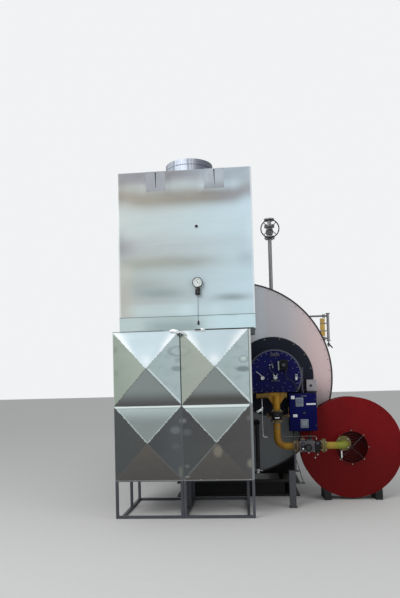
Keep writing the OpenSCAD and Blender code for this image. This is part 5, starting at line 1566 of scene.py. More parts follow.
class BOILER_OT_thermometer(bpy.types.Operator):
    """Makes the dial thermometer with its scale, glass, stem block and capillary"""

    bl_idname = "boiler.thermometer"
    bl_label = "Dial thermometer"

    def execute(self, context):
        low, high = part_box("thermometer")
        x, z = (low.x + high.x) / 2, high.z - 0.062
        gauge = Piece("dial_thermometer", (x, CASING_Y, z))
        rear, face = gauge.at(0, -0.012, 0), -0.042
        gauge.lathe([(0.05, 0), (0.054, 0.004), (0.056, 0.02), (0.056, 0.026)], rear, "case_black")
        bezel = [(0.053, 0.02), (0.061, 0.021), (0.062, 0.026), (0.0605, 0.03), (0.055, 0.03), (0.053, 0.027)]
        gauge.ring(bezel, rear, "case_black")
        gauge.disc(0.0535, 0.001, gauge.at(0, face + 0.004, 0), "dial", 0.0002)
        self.scale(gauge, face + 0.0029)
        self.needle(gauge, face + 0.0029)
        gauge.disc(0.0535, 0.0015, gauge.at(0, face + 0.0015, 0), "glass", 0.0003)
        gauge.disc(0.012, 0.012, gauge.at(0, 0, 0), "brass", 0.001, 24)
        # stem block with its plate, gland and screw, and the capillary down to the casing
        foot, top = low.z - z, -0.056
        gauge.box((-0.029, -0.04, foot), (0.029, 0, top - 0.004), "case_black", 0.004)
        gauge.box((0.0265, -0.036, foot + 0.02), (0.03, -0.006, foot + 0.034), "white", 0.001)
        gland = [(0.012, 0), (0.012, 0.01), (0.007, 0.013), (0.007, 0.022)]
        gauge.lathe(gland, gauge.at(0, -0.024, top - 0.018, "z"), "brass", 6)
        gauge.disc(0.0045, 0.002, gauge.at(0, -0.04, foot + 0.03), "bolt", 0.0006, 12)
        line = [(0, -0.012, foot + 0.004), (0, -0.006, foot - 0.05), (-0.004, -0.0045, 2.42 - z)]
        line += [(-0.385 - x, -0.004, 2.345 - z), (-0.385 - x, -0.002, 2.32 - z)]
        gauge.tube(line, 0.0016, "grey_steel", 8, 0.03)
        gauge.done("gauge_case", "thermometer")
        return {"FINISHED"}

    @staticmethod
    def scale(gauge, front):
        """Scale lines over three quarters of the dial, and a number at every fifth."""
        lines, numbered, step = 40, 8, 50
        for k in range(lines + 1):
            turn = math.radians(225 - 270 * k / lines)
            long = k % 5 == 0
            ends = [(r * math.cos(turn), front, r * math.sin(turn)) for r in (0.049, 0.04 if long else 0.0445)]
            gauge.tube(ends, 0.0009 if long else 0.0005, "ink", 4)
        numbers = bpy.data.curves.new("numbers", "FONT")
        numbers.size = 0.0095
        numbers.align_x, numbers.align_y = "CENTER", "CENTER"
        for k in range(numbered + 1):
            turn = math.radians(225 - 270 * k / numbered)
            numbers.body = str(k * step)
            mark = new_object("number", numbers)
            bpy.context.view_layer.update()
            flat = bpy.data.meshes.new_from_object(mark.evaluated_get(bpy.context.evaluated_depsgraph_get()))
            bpy.data.objects.remove(mark)
            shape = bmesh.new()
            shape.from_mesh(flat)
            bpy.data.meshes.remove(flat)
            solid = bmesh.ops.extrude_face_region(shape, geom=shape.faces[:])
            moved = [v for v in solid["geom"] if isinstance(v, bmesh.types.BMVert)]
            bmesh.ops.translate(shape, verts=moved, vec=(0, 0, 0.0004))
            # the extruded faces come in no fixed order, so they are sorted by where they lie
            shape.faces.sort(key=lambda face: face.calc_center_median().dot(Vector((1.0, 3.7, 7.3))))
            gauge.take(shape, "ink", gauge.at(0.033 * math.cos(turn), front, 0.033 * math.sin(turn)))
        bpy.data.curves.remove(numbers)

    @staticmethod
    def needle(gauge, front):
        """Pointer on its hub."""
        turn = math.radians(118)
        ends = [(r * math.cos(turn), front - 0.002, r * math.sin(turn)) for r in (-0.012, 0.04)]
        gauge.tube(ends, 0.0013, "ink", 6)
        gauge.disc(0.0045, 0.003, gauge.at(0, front, 0), "case_black", 0.0008, 24)


class BOILER_OT_leg_welds(bpy.types.Operator):
    """Adds weld beads to the leg frames"""

    bl_idname = "boiler.leg_welds"
    bl_label = "Leg frame welds"

    def execute(self, context):
        welds = Piece("leg_welds")
        left, right = CASING_X, CASING_X + CASING_W - LEG_W
        posts = ((left, 1), (SEAM_X - 0.002 - LEG_W, 0), (SEAM_X + 0.002, 1), (right, 0))
        for x, side in posts:
            inner = x + side * LEG_W
            for z in (LEG_W, LEG_H - 0.008):
                bead = [(inner, CASING_Y + 0.001, z), (inner, CASING_Y + LEG_W - 0.001, z)]
                welds.tube(bead, 0.0035, "weld", 8)
            welds.tube([(inner, CASING_Y, 0.003), (inner, CASING_Y, LEG_W)], 0.0022, "weld", 8)
        welds.done("frame_steel")
        return {"FINISHED"}


class BOILER_OT_shell_details(bpy.types.Operator):
    """Adds the cladding's screws and the bolts of the shell's fittings"""

    bl_idname = "boiler.shell_details"
    bl_label = "Shell details"

    def execute(self, context):
        detail = Piece("shell_details")
        self.cladding_screws(detail)
        self.flange_bolts(detail)
        for y in SADDLE_YS:
            for x in (-0.82, -0.68, 0.68, 0.82):
                for dy in (-0.1, 0.1):
                    detail.bolts(at(x, y + dy, 0.2), 0.0, 1, 0.02)
        detail.done("pipe_steel")
        return {"FINISHED"}

    @staticmethod
    def cladding_screws(detail):
        """Screws round both end rings and along the five straps."""
        edge, ends, straps, around = SHELL_R - 0.04, 56, 5, 28
        for k in range(ends):
            turn = 2 * math.pi * (k + 0.5) / ends
            x, z = edge * math.cos(turn), SHELL_Z + edge * math.sin(turn)
            if math.hypot(x - BURNER.x, z - BURNER.z) >= PLATE_R + 0.03:
                detail.lathe(SCREW_HEAD, at(x, 0.0, z, "-y"), "bolt_dull", 8)
            detail.lathe(SCREW_HEAD, at(x, SHELL_LEN, z, "y"), "bolt_dull", 8)
        for strap in range(straps):
            y = 0.06 + (strap + 1) * (SHELL_LEN - 0.12) / (straps + 1)
            for k in range(around):
                turned = Matrix.Translation((0, y, SHELL_Z)) @ Matrix.Rotation(2 * math.pi * k / around, 4, "Y")
                detail.lathe(SCREW_HEAD, turned @ at(SHELL_R + 0.004, 0, 0, "x"), "bolt_dull", 8)

    @staticmethod
    def flange_bolts(detail):
        """Bolts of the nozzles, valves, manhole and rear door."""
        crown = SHELL_Z + SHELL_R
        x, y, valve_z = RISER
        steam_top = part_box("main_steam_nozzle")[1].z
        riser_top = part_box("steam_riser")[1].z
        feed_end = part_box("feed_nozzle")[0].x
        drain_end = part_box("blowdown_valve")[1].y
        door_z = SHELL_Z - 0.25
        # place, way, radius and count of the bolts, head size, and the turn of the first
        circles = (
            (0, 2.6, steam_top - 0.0245, "-z", 0.12, 8, 0.024, math.pi / 8),
            (x, y, riser_top - 0.018, "-z", 0.0625, 4, 0.018, math.pi / 4),
            (x, y, valve_z - 0.11, "-z", 0.0625, 4, 0.018, math.pi / 4),
            (x, y, valve_z + 0.11, "z", 0.0625, 4, 0.018, math.pi / 4),
            (x, y - 0.092, valve_z, "-y", 0.044, 6, 0.01, 0.0),
            (0, SAFETY_Y, crown + 0.164, "z", 0.066, 8, 0.014, 0.0),
            (0, SAFETY_Y, crown + 0.278, "z", 0.063, 6, 0.014, 0.0),
            (0.13, SAFETY_Y, crown + 0.2, "-x", 0.08, 4, 0.016, math.pi / 4),
            (0, MANHOLE_Y, crown + 0.13, "z", 0.258, 20, 0.02, 0.0),
            (feed_end + 0.02, 2.1, 1.945, "x", 0.0625, 4, 0.018, math.pi / 4),
            (0, SHELL_LEN + 0.045, door_z, "y", 0.35, 20, 0.022, 0.0),
            (0, SHELL_LEN + 0.07, door_z, "y", 0.27, 12, 0.016, 0.0),
            (0, drain_end - 0.018, 0.19, "-y", 0.058, 4, 0.014, math.pi / 4),
        )
        for *place, along, radius, count, size, turn in circles:
            detail.bolts(at(*place, along), radius, count, size, turn)
        detail.rod(0.03, 0.02, at(0, MANHOLE_Y, crown + 0.198), "bolt", 6)


class BOILER_OT_burner(bpy.types.Operator):
    """Builds the burner's mounting plate with its bolts, the blue head and the fittings on it"""

    bl_idname = "boiler.burner"
    bl_label = "Burner"

    def execute(self, context):
        self.plate()
        self.head()
        self.fittings()
        return {"FINISHED"}

    @staticmethod
    def plate():
        """Mounting plate with its ring, bolts and the bright lip over its upper edge, a painted highlight where that
        edge catches the light.
        """
        plate = Piece("burner_plate_dressed", (BURNER.x, 0, BURNER.z))
        thick = -PLATE_Y
        hole = HEAD_R - 0.06
        front = plate.at(0, PLATE_Y, 0)
        section = [(hole, 0), (PLATE_R, 0), (PLATE_R, thick - 0.005), (PLATE_R - 0.005, thick), (hole, thick)]
        plate.ring(section, plate.at(0, 0, 0), "burner_black", 128)
        plate.bolts(front, PLATE_R - 0.026, 16, 0.019, math.radians(11.25), "bolt_dull")
        inner, outer = HEAD_R - 0.024, HEAD_R + 0.012
        plate.ring([(inner, 0.001), (outer, 0.001), (outer, 0.012), (inner, 0.016)], front, "burner_black", 96)
        plate.bolts(front, HEAD_R + 0.04, 8, 0.016, math.radians(8), "burner_black")
        # bright lip along the top of the plate's edge only: a painted highlight
        reach = PLATE_R + 0.004
        turns = np.linspace(math.radians(50), math.radians(128), 40)
        plate.tube([(reach * math.cos(t), -0.003, reach * math.sin(t)) for t in turns], 0.0045, "silver", 8)
        plate.done("burner_black", "burner_plate")

    @staticmethod
    def cut_circle(radius, cut):
        """Circle with a flat at its underside, as (x, z) pairs about the axis."""
        flat = math.asin(min(1.0, cut / radius))
        turns = np.linspace(-flat, math.pi + flat, 96)
        return [(radius * math.cos(t), radius * math.sin(t)) for t in turns]

    def head(self):
        """Blue drum with its two beads, the raised cover, the grey rim and their screws."""
        head = Piece("burner_head_dressed", (BURNER.x, 0, BURNER.z))
        drum = HEAD_R - 0.017
        head.prism(self.cut_circle(drum, HEAD_CUT), 0.396, head.at(0, PLATE_Y, 0), "burner_blue")
        for y in (-0.2, -0.33):
            head.prism(self.cut_circle(drum + 0.003, HEAD_CUT), 0.006, head.at(0, y, 0), "burner_blue")
        cover = HEAD_R - RIM_W - 0.0006
        place = head.at(0, HEAD_Y + 0.034, 0)
        head.prism(self.cut_circle(cover, HEAD_CUT), 0.03, place, "burner_blue")
        head.prism(self.cut_circle(cover - 0.004, HEAD_CUT - 0.004), 0.034, place, "burner_blue")
        outer = self.cut_circle(HEAD_R, HEAD_CUT)
        inner = self.cut_circle(HEAD_R - RIM_W, HEAD_CUT)
        rim = bmesh.new()
        rows = []
        for line, y in ((outer, 0.0), (outer, 0.036), (inner, 0.038), (inner, 0.0)):
            rows.append([rim.verts.new((x, z, y)) for x, z in line])
        for a, b in zip(rows, rows[1:] + rows[:1]):
            for i in range(len(a) - 1):
                rim.faces.new((a[i], a[i + 1], b[i + 1], b[i]))
        for end in (0, -1):
            rim.faces.new([row[end] for row in rows])
        head.take(rim, "rim_grey", place)
        for k in range(20):
            turn = math.radians(-30 + 12.6 * k)
            x, z = 0.318 * math.cos(turn), 0.318 * math.sin(turn)
            head.lathe(COVER_SCREW, head.at(x, HEAD_Y, z), "screw_dim", 6)
        z = -HEAD_CUT + 0.018
        head.screws((-0.25, HEAD_Y, z), (0.25, HEAD_Y, z), 0.071, 0.011, "-y", "screw_dim")
        head.done("burner_blue", "burner_head", "burner_rim")

    def fittings(self):
        parts = Piece("burner_fittings_dressed", (BURNER.x, HEAD_Y, BURNER.z))
        self.servo(parts)
        self.nipples(parts)
        self.sight_glass(parts)
        self.small_screws(parts)
        self.hinge_post(parts)
        parts.done("fitting_metal", "burner_fittings")

    @staticmethod
    def servo(parts):
        """Servo motor with its dial, screws and lead, and the pale lever beside it."""
        parts.box((0.062, -0.092, 0.078), (0.172, 0, 0.212), "servo_black", 0.016, 4)
        parts.box((0.066, -0.11, 0.082), (0.168, -0.09, 0.208), "servo_black", 0.012, 4)
        dial = parts.at(0.117, -0.11, 0.145)
        parts.ring([(0.026, 0), (0.034, 0), (0.034, 0.015), (0.03, 0.018), (0.026, 0.015)], dial, "servo_black")
        parts.disc(0.026, 0.01, dial, "rim_grey", 0.003)
        parts.box((0.113, -0.122, 0.122), (0.121, -0.119, 0.168), "ink", 0.001)
        parts.heads((0.074, 0.16), -0.11, (0.09, 0.2), 0.005, 0.003, "post_grey")
        gland = [(0.013, 0), (0.013, 0.012), (0.01, 0.016), (0.01, 0.026)]
        parts.lathe(gland, parts.at(0.145, -0.05, 0.08, "-z"), "rubber", 12)
        lead = [(0.145, -0.05, 0.056), (0.145, -0.05, -0.02), (0.25, -0.03, -0.08), (0.3, -0.02, -0.205)]
        parts.tube(lead, 0.006, "rubber", 12, 0.06)
        bar = [(-0.006, -0.06), (0.006, -0.06), (0.008, -0.05), (0.008, 0.052)]
        bar += [(0.004, 0.06), (-0.004, 0.06), (-0.008, 0.052), (-0.008, -0.05)]
        parts.prism(bar, 0.012, parts.at(0.054, -0.048, 0.14), "white", 0.001)
        parts.disc(0.008, 0.048, parts.at(0.052, 0, 0.14), "silver", 0.002, 24)

    @staticmethod
    def nipples(parts):
        """Test nipples and their thin pipes on the left of the cover."""
        for x, z, r in ((-0.06, 0.15, 0.014), (-0.02, 0.12, 0.014), (-0.062, 0.112, 0.01), (-0.03, 0.165, 0.01)):
            nipple = [(r, 0), (r, 0.012), (r * 0.7, 0.016), (r * 0.7, 0.026), (r * 0.4, 0.03)]
            parts.lathe(nipple, parts.at(x, 0, z), "silver", 6)
        pipe = [(-0.06, -0.026, 0.15), (-0.02, -0.04, 0.148), (-0.02, -0.028, 0.12)]
        parts.tube(pipe, 0.004, "silver", 10, 0.02)
        pipe = [(-0.062, -0.022, 0.112), (-0.04, -0.04, 0.06), (0.004, -0.03, 0.03)]
        parts.tube(pipe, 0.004, "rim_grey", 10, 0.02)

    @staticmethod
    def sight_glass(parts):
        """Middle boss with its two arms, the sight glass with its pipe, and the bare plates."""
        boss = [(0.034, 0), (0.034, 0.022), (0.026, 0.034), (0.026, 0.04)]
        parts.lathe(boss, parts.at(0.008, 0, -0.016), "silver", 32)
        parts.disc(0.02, 0.05, parts.at(0.008, -0.04, -0.016), "silver", 0.004, 32)
        for lean in (-38, 38):
            turn = math.radians(90 + lean)
            a = Vector((0.008, -0.06, -0.01))
            b = a + Vector((math.cos(turn) * 0.044, -0.006, math.sin(turn) * 0.044))
            parts.tube([a, b], 0.007, "silver", 14)
            parts.tube([b, b + Vector((0, -0.012, 0))], 0.009, "bolt_dull", 6)
        parts.box((-0.052, -0.018, -0.066), (0.068, 0, -0.052), "rim_grey", 0.004)
        tube = [(0.03, 0), (0.03, 0.01), (0.028, 0.05), (0.024, 0.058)]
        tube += [(0.024, 0.07), (0.018, 0.07), (0.018, 0.062)]
        parts.lathe(tube, parts.at(-0.158, 0, -0.018), "silver", 36)
        parts.disc(0.018, 0.002, parts.at(-0.158, -0.062, -0.018), "white", 0.0006, 24)
        pipe = [(-0.17, -0.04, 0.004), (-0.19, -0.04, 0.03), (-0.242, -0.03, 0.068)]
        parts.tube(pipe, 0.0055, "silver", 10, 0.02)
        parts.box((0.268, -0.02, -0.055), (0.296, 0, 0.02), "white", 0.004)
        parts.box((0.272, -0.026, -0.01), (0.292, -0.018, 0.014), "rim_grey", 0.003)
        plate = [(-0.07, -0.025), (0.07, -0.025), (0.062, 0.018), (0.048, 0.025), (-0.048, 0.025), (-0.062, 0.018)]
        parts.prism(plate, 0.012, parts.at(0.008, 0, 0.287), "burner_blue", 0.003)
        smaller = [(a * 0.92, b * 0.84) for a, b in plate]
        parts.prism(smaller, 0.0016, parts.at(0.008, -0.012, 0.286), "post_grey", 0.0004)

    @staticmethod
    def small_screws(parts):
        """Small screws all over the cover."""
        spots = [(-0.22, 0.13), (-0.12, 0.2), (-0.24, -0.1), (-0.1, -0.12), (-0.03, -0.15), (0.1, -0.15)]
        spots += [(0.2, -0.14), (0.24, 0.1), (0.19, 0.2), (-0.09, 0.03), (-0.09, -0.03), (0.1, 0.04)]
        spots += [(0.16, -0.04), (-0.17, -0.17), (0.02, 0.24), (-0.2, 0.22), (0.13, -0.09), (-0.28, 0.05)]
        spots += [(-0.04, 0.2), (0.28, -0.1)]
        for x, z in spots:
            parts.lathe(SMALL_SCREW, parts.at(x, 0, z), "screw_dim", 6)

    @staticmethod
    def hinge_post(parts):
        """Post beside the head, with its collar and two lugs."""
        x, y, lug = 0.358, 0.052, 0.026
        post = [(0.016, 0), (0.016, 0.295), (0.021, 0.295), (0.021, 0.305), (0.018, 0.307)]
        parts.lathe(post, parts.at(x, y, -0.2, "z"), "post_grey", 28)
        for z in (-0.07, 0.05):
            parts.box((x - 0.06, y - 0.012, z), (x, y + 0.012, z + lug), "post_grey", 0.003)
            parts.rod(0.0195, lug, parts.at(x, y, z, "z"), "post_grey", 28)


class BOILER_OT_cabinet(bpy.types.Operator):
    """Builds the control cabinet's door with its display, switch and plates, and the ignition box"""

    bl_idname = "boiler.cabinet"
    bl_label = "Control cabinet"

    def execute(self, context):
        self.door()
        self.wiring()
        self.ignition_box()
        return {"FINISHED"}

    @staticmethod
    def door():
        """Door with its seal, displays, keys, plates, knob, locks and hinges."""
        x0, x1, z0, z1 = CABINET
        door = Piece("cabinet_door_dressed", (0, CABINET_Y, 0))
        door.box((x0, 0, z0), (x1, 0.02, z1), "cabinet_blue", 0.004, 3)
        door.box((x0 + 0.006, 0.004, z0 + 0.006), (x1 - 0.006, 0.021, z1 - 0.006), "rubber", 0.002)
        # display, its frame and window, and its keys
        starts = [0.797 + k * 0.0207 for k in range(4)]
        keys = [(x, x + 0.014, 1.262, 1.276, -0.011, -0.007, "rim_grey", 0.002) for x in starts]
        # left, right, foot and top of each plate, its front and back, finish and bevel
        plates = [
            (0.787, 0.885, 1.25, 1.363, -0.008, 0, "plate_grey", 0.004),
            (0.797, 0.875, 1.288, 1.351, -0.0105, -0.0075, "rim_grey", 0.002),
            (0.802, 0.87, 1.294, 1.345, -0.0115, -0.01, "display", 0.0004),
            *keys,
            (0.843, 0.943, 0.972, 1.084, -0.006, 0, "plate_grey", 0.003),
            (0.853, 0.933, 0.984, 1.072, -0.0075, -0.0055, "rim_grey", 0.001),
            (0.859, 0.927, 0.99, 1.066, -0.0082, -0.0072, "plate_grey", 0.0003),
            (0.923, 1.043, 1.268, 1.288, -0.003, 0, "white", 0.001),
            (0.729, 0.776, 1.346, 1.389, -0.004, 0, "white", 0.002),
            (0.751, 0.805, 1.113, 1.149, -0.004, 0, "white", 0.002),
            (0.854, 0.93, 1.376, 1.392, -0.002, 0, "rim_grey", 0.0006),
        ]
        for left, right, foot, top, front, back, look, bevel in plates:
            door.box((left, front, foot), (right, back, top), look, bevel)
        # switch knob, locks and hinges
        door.disc(0.016, 0.006, door.at(0.893, 0, 1.164), "rim_grey", 0.002, 32)
        door.disc(0.011, 0.022, door.at(0.893, 0, 1.164), "post_grey", 0.003, 32)
        door.box((0.89, -0.028, 1.154), (0.896, -0.02, 1.174), "case_black", 0.001)
        for z in (1.0, 1.34):
            door.disc(0.009, 0.003, door.at(1.04, 0, z), "post_grey", 0.001, 24)
            door.box((1.038, -0.0042, z - 0.005), (1.042, -0.0028, z + 0.005), "ink", 0.0002)
        for z in (1.01, 1.32):
            door.tube([(x0 - 0.004, 0.018, z), (x0 - 0.004, 0.018, z + 0.05)], 0.0045, "cabinet_blue", 12)
        door.done("burner_blue", "cabinet_door")

    @staticmethod
    def wiring():
        """Cable glands under the cabinet, its short leads and the screws on its top."""
        x0, x1, z0, z1 = CABINET
        y, behind = -0.45, GAS_Y + 0.02
        wiring = Piece("cabinet_glands")
        gland = [(0.014, 0), (0.014, 0.008), (0.011, 0.01), (0.011, 0.022), (0.008, 0.026)]
        for x in (0.76, 0.83, 0.9, 0.97):
            wiring.lathe(gland, at(x, y, z0, "-z"), "rubber", 12)
        leads = (
            ((0.76, y, z0 - 0.02), (0.76, y, z0 - 0.075), (0.735, -0.62, z0 - 0.1), (0.735, behind, 0.862)),
            ((0.97, y, z0 - 0.02), (0.97, y, z0 - 0.07), (0.965, -0.6, z0 - 0.08), (0.965, behind, 0.83)),
        )
        for lead in leads:
            wiring.tube(lead, 0.006, "rubber", 10, 0.05)
        lead = ((0.9, y, z1), (0.9, y, z1 + 0.03), (0.93, -0.4, z1 + 0.045), (0.965, -0.38, 1.432))
        wiring.tube(lead, 0.007, "rim_grey", 10, 0.03)
        wiring.screws((x0 + 0.02, -0.54, z1), (x1 - 0.02, -0.54, z1), 0.1, 0.006, "z")
        wiring.done("fitting_metal")

    @staticmethod
    def ignition_box():
        """Small grey box over the cabinet, with its knob and screws."""
        front = -0.42
        box = Piece("ignition_box_dressed")
        box.box((0.952, -0.418, 1.446), (1.077, -0.33, 1.59), "box_grey", 0.005, 3)
        box.box((0.949, front, 1.443), (1.08, -0.404, 1.593), "box_grey", 0.004, 3)
        box.box((0.948, -0.412, 1.418), (1.081, -0.33, 1.446), "case_black", 0.003)
        box.disc(0.018, 0.003, box.at(1.004, front, 1.516), "post_grey", 0.001, 32)
        box.disc(0.013, 0.016, box.at(1.004, front, 1.516), "post_grey", 0.003, 24)
        box.heads((0.96, 1.069), front, (1.455, 1.581), 0.005, 0.003, "bolt")
        box.done("grey_box", "ignition_box")


class BOILER_OT_gas_train(bpy.types.Operator):
    """Builds the butterfly valve, the valve block, the thin lines and the flange bolts of the gas train"""

    bl_idname = "boiler.gas_train"
    bl_label = "Gas train"

    def execute(self, context):
        self.butterfly()
        self.block()
        self.impulse_line()
        self.drain()
        self.flange_bolts()
        return {"FINISHED"}

    @staticmethod
    def butterfly():
        """Butterfly valve with its drive box, shaft and the small pipe beside it."""
        low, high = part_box("butterfly_valve")
        tall = high.z - low.z
        valve = Piece("butterfly_valve_dressed", (BURNER.x, GAS_Y, low.z))
        foot = valve.at(0, 0, 0, "z")
        valve.lathe([(0.08, 0), (0.08, 0.018), (0.078, 0.02)], foot, "brown", 64)
        body = [(0.064, 0.02), (0.066, 0.024), (0.066, tall - 0.003), (0.063, tall)]
        valve.lathe(body, foot, "black_iron", 64)
        for z, along in ((tall + 0.02, "z"), (0, "-z")):
            valve.bolts(valve.at(0, 0, z, along), 0.066, 4, 0.015, math.radians(45))
        valve.box((-0.05, -0.084, 0.024), (0.056, -0.05, tall - 0.006), "servo_black", 0.008, 3)
        valve.box((-0.044, -0.07, 0.03), (0.05, 0, tall - 0.012), "servo_black", 0.004)
        valve.box((-0.026, -0.0855, 0.04), (0.03, -0.083, 0.052), "white", 0.001)
        valve.box((-0.01, -0.0855, 0.078), (0.016, -0.083, 0.086), "rim_grey", 0.001)
        shaft = 0.062
        valve.tube([(-0.112, 0, shaft), (0.15, 0, shaft)], 0.009, "brass_dim", 16)
        for side, reach, along in ((-1, 0.112, "-x"), (1, 0.146, "x")):
            x = side * reach
            valve.box((x - 0.006, -0.012, 0.034), (x + 0.006, 0.012, 0.096), "brass_dim", 0.003)
            valve.rod(0.013, 0.008, valve.at(x + side * 0.006, 0, shaft, along), "bolt_dull", 6)
        pipe = [(0.146, -0.014, 0.09), (0.146, -0.03, 0.13), (0.15, -0.02, 0.17)]
        valve.tube(pipe, 0.0045, "brass_dim", 10, 0.02)
        valve.done("black_iron", "butterfly_valve")

    @staticmethod
    def block():
        """Valve block between its flanges, with the pressure switch, filter, coil cap and drain cocks."""
        block = Piece("gas_valve_block_dressed", (BLOCK_X, GAS_Y, GAS_Z))
        flange = [(0.083, 0), (0.083, 0.018), (0.081, 0.02), (0.056, 0.02), (0.056, 0.036), (0.081, 0.037)]
        flange += [(0.083, 0.039), (0.083, 0.057), (0.065, 0.057), (0.065, 0.075)]
        block.lathe(flange, block.at(0, 0, 0, "x"), "brown", 64)
        for x, along in ((0.02, "x"), (0.037, "-x")):
            block.bolts(block.at(x, 0, 0, along), 0.069, 4, 0.014, math.pi / 4)
        block.box((0.075, -0.07, -0.072), (0.264, 0.07, 0.064), "valve_grey", 0.01, 3)
        block.box((0.09, -0.05, 0.064), (0.15, 0.05, 0.09), "grey_steel", 0.005, 3)
        block.box((0.168, -0.038, 0.062), (0.25, 0.038, 0.078), "grey_steel", 0.004, 3)
        block.heads((0.084, 0.255), -0.07, (-0.06, 0.054), 0.006, 0.004, "bolt")
        # pressure switch and its plate
        dial = [(0.03, 0), (0.042, 0), (0.042, 0.022), (0.038, 0.03), (0.032, 0.03), (0.03, 0.026)]
        block.ring(dial, block.at(0.186, -0.07, -0.012), "servo_black", 48)
        block.disc(0.031, 0.018, block.at(0.186, -0.07, -0.012), "case_black", 0.003)
        block.bolts(block.at(0.186, -0.088, -0.012), 0.02, 3, 0.007, 0.3, "screw_dim")
        block.box((0.098, -0.094, -0.04), (0.134, -0.07, 0.05), "servo_black", 0.006, 3)
        block.box((0.104, -0.0955, 0.01), (0.128, -0.093, 0.04), "post_grey", 0.001)
        block.disc(0.01, 0.008, block.at(0.116, -0.094, -0.026), "white", 0.002, 20)
        # filter housing with its ribs, plate and lower cap, and the flange behind it
        block.box((0.264, -0.062, -0.066), (0.334, 0.062, 0.06), "servo_black", 0.008, 3)
        for k in range(5):
            z = -0.048 + k * 0.022
            block.box((0.268, -0.0645, z), (0.33, -0.06, z + 0.006), "black_iron", 0.002)
        block.box((0.28, -0.0655, 0.022), (0.318, -0.061, 0.05), "post_grey", 0.002)
        cap = [(0.026, 0), (0.03, 0.004), (0.03, 0.022), (0.024, 0.026)]
        block.lathe(cap, block.at(0.299, 0, -0.066, "-z"), "black_iron", 32)
        block.rod(0.044, 0.023, block.at(0.334, 0, 0, "x"), "brown")
        # small drain cocks under the block
        for x, drop in ((0.3, 0.04), (0.268, 0.078), (0.19, 0.018)):
            block.tube([(x, -0.03, -0.07), (x, -0.03, -0.07 - drop)], 0.006, "brass_dim", 12)
            block.rod(0.011, 0.014, block.at(x, -0.03, -0.074 - drop, "z"), "silver", 6)
        # coil cap and test nipple on top
        coil = [(0.022, 0), (0.022, 0.03), (0.018, 0.036)]
        block.lathe(coil, block.at(0.209, 0, 0.078, "z"), "servo_black", 32)
        nipple = [(0.009, 0), (0.009, 0.01), (0.005, 0.016)]
        block.lathe(nipple, block.at(0.12, -0.02, 0.09, "z"), "brass", 6)
        block.done("grey_box", "gas_valve_block")

    @staticmethod
    def impulse_line():
        """Thin line beside the riser, with its unions and its cock."""
        x, y, z, end = 0.352, GAS_Y + 0.06, 0.876, 1.022
        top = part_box("impulse_line")[1].z
        cock = 1.204
        line = Piece("impulse_line_dressed")
        line.tube([(x, y, top - 0.001), (x, y, z), (x + 0.06, y, z)], 0.006, "silver", 14, 0.03)
        line.tube([(x + 0.05, y, z), (end, y, z), (end, y, 0.826)], 0.0055, "bolt_dull", 14, 0.03)
        union = [(0.011, 0), (0.011, 0.012), (0.0085, 0.016), (0.0085, 0.024)]
        for place in (at(x, y, cock - 0.02), at(x, y, 0.96), at(end, y, 0.834)):
            line.lathe(union, place, "bolt", 6)
        line.lathe([(0.013, 0), (0.016, 0.006), (0.016, 0.05), (0.013, 0.058)], at(x, y, cock), "silver", 24)
        lean = Matrix.Translation((x, y - 0.016, cock + 0.03)) @ Matrix.Rotation(math.radians(-28), 4, "Y")
        handle = [(-0.08, -0.015), (-0.012, -0.015), (-0.004, -0.006)]
        handle += [(-0.004, 0.006), (-0.012, 0.015), (-0.08, 0.015)]
        line.prism(handle, 0.012, lean @ at(0, 0.006, 0, "-y"), "white_sheet", 0.002)
        line.disc(0.01, 0.006, line.at(x, y - 0.016, cock + 0.03), "bolt", 0.002, 12)
        line.done("bright_steel", "impulse_line")

    @staticmethod
    def drain():
        """Drain pipe beside the casing, with its flange, nut and pale foot."""
        x, y, top = 0.287, -0.175, 1.01
        drain = Piece("drain_pipe_dressed")
        drain.tube([(x, y, 0.4), (x, y, top), (x, 0.0, top)], 0.0268, "black_iron", 28, 0.05)
        drain.disc(0.044, 0.01, at(x, -0.01, top, "y"), "black_iron", 0.002)
        foot = [(0.02, 0), (0.02, 0.016), (0.016, 0.02), (0.016, 0.04), (0.02, 0.044), (0.02, 0.06)]
        drain.lathe(foot, at(x, y, 0.34), "white", 24)
        drain.tube([(x, y, 0.372), (x + 0.06, y, 0.372)], 0.007, "silver", 12)
        drain.rod(0.03, 0.02, at(x, y, 0.395), "black_iron", 6)
        drain.done("black_iron", "drain_pipe")

    @staticmethod
    def flange_bolts():
        """Bolts of the inlet's flanges, its hanging test line and two welds of the manifold."""
        bolts = Piece("gas_flange_bolts")
        bolts.bolts(at(1.08, GAS_Y, GAS_Z, "-x"), 0.07, 4, 0.016, math.pi / 4)
        bolts.bolts(at(1.123, GAS_Y, GAS_Z, "x"), 0.07, 4, 0.016, math.pi / 4)
        bolts.bolts(at(1.385, -0.526, GAS_Z, "-y"), 0.075, 4, 0.016, math.pi / 4)
        # upper and lower drop below the pipe's axis, radius, finish and sides
        for upper, lower, radius, look, sides in (
            (0.044, 0.07, 0.006, "brass_dim", 12),
            (0.068, 0.155, 0.008, "white", 16),
            (0.155, 0.19, 0.005, "bolt_dull", 12),
        ):
            bolts.tube([(1.322, GAS_Y, GAS_Z - drop) for drop in (upper, lower)], radius, look, sides)
        for z in (0.99, 1.05):
            weld = [(0.0446, 0), (0.0475, 0), (0.0475, 0.01), (0.0446, 0.01)]
            bolts.ring(weld, at(BURNER.x, GAS_Y, z), "weld", 48)
        bolts.done("fitting_metal")


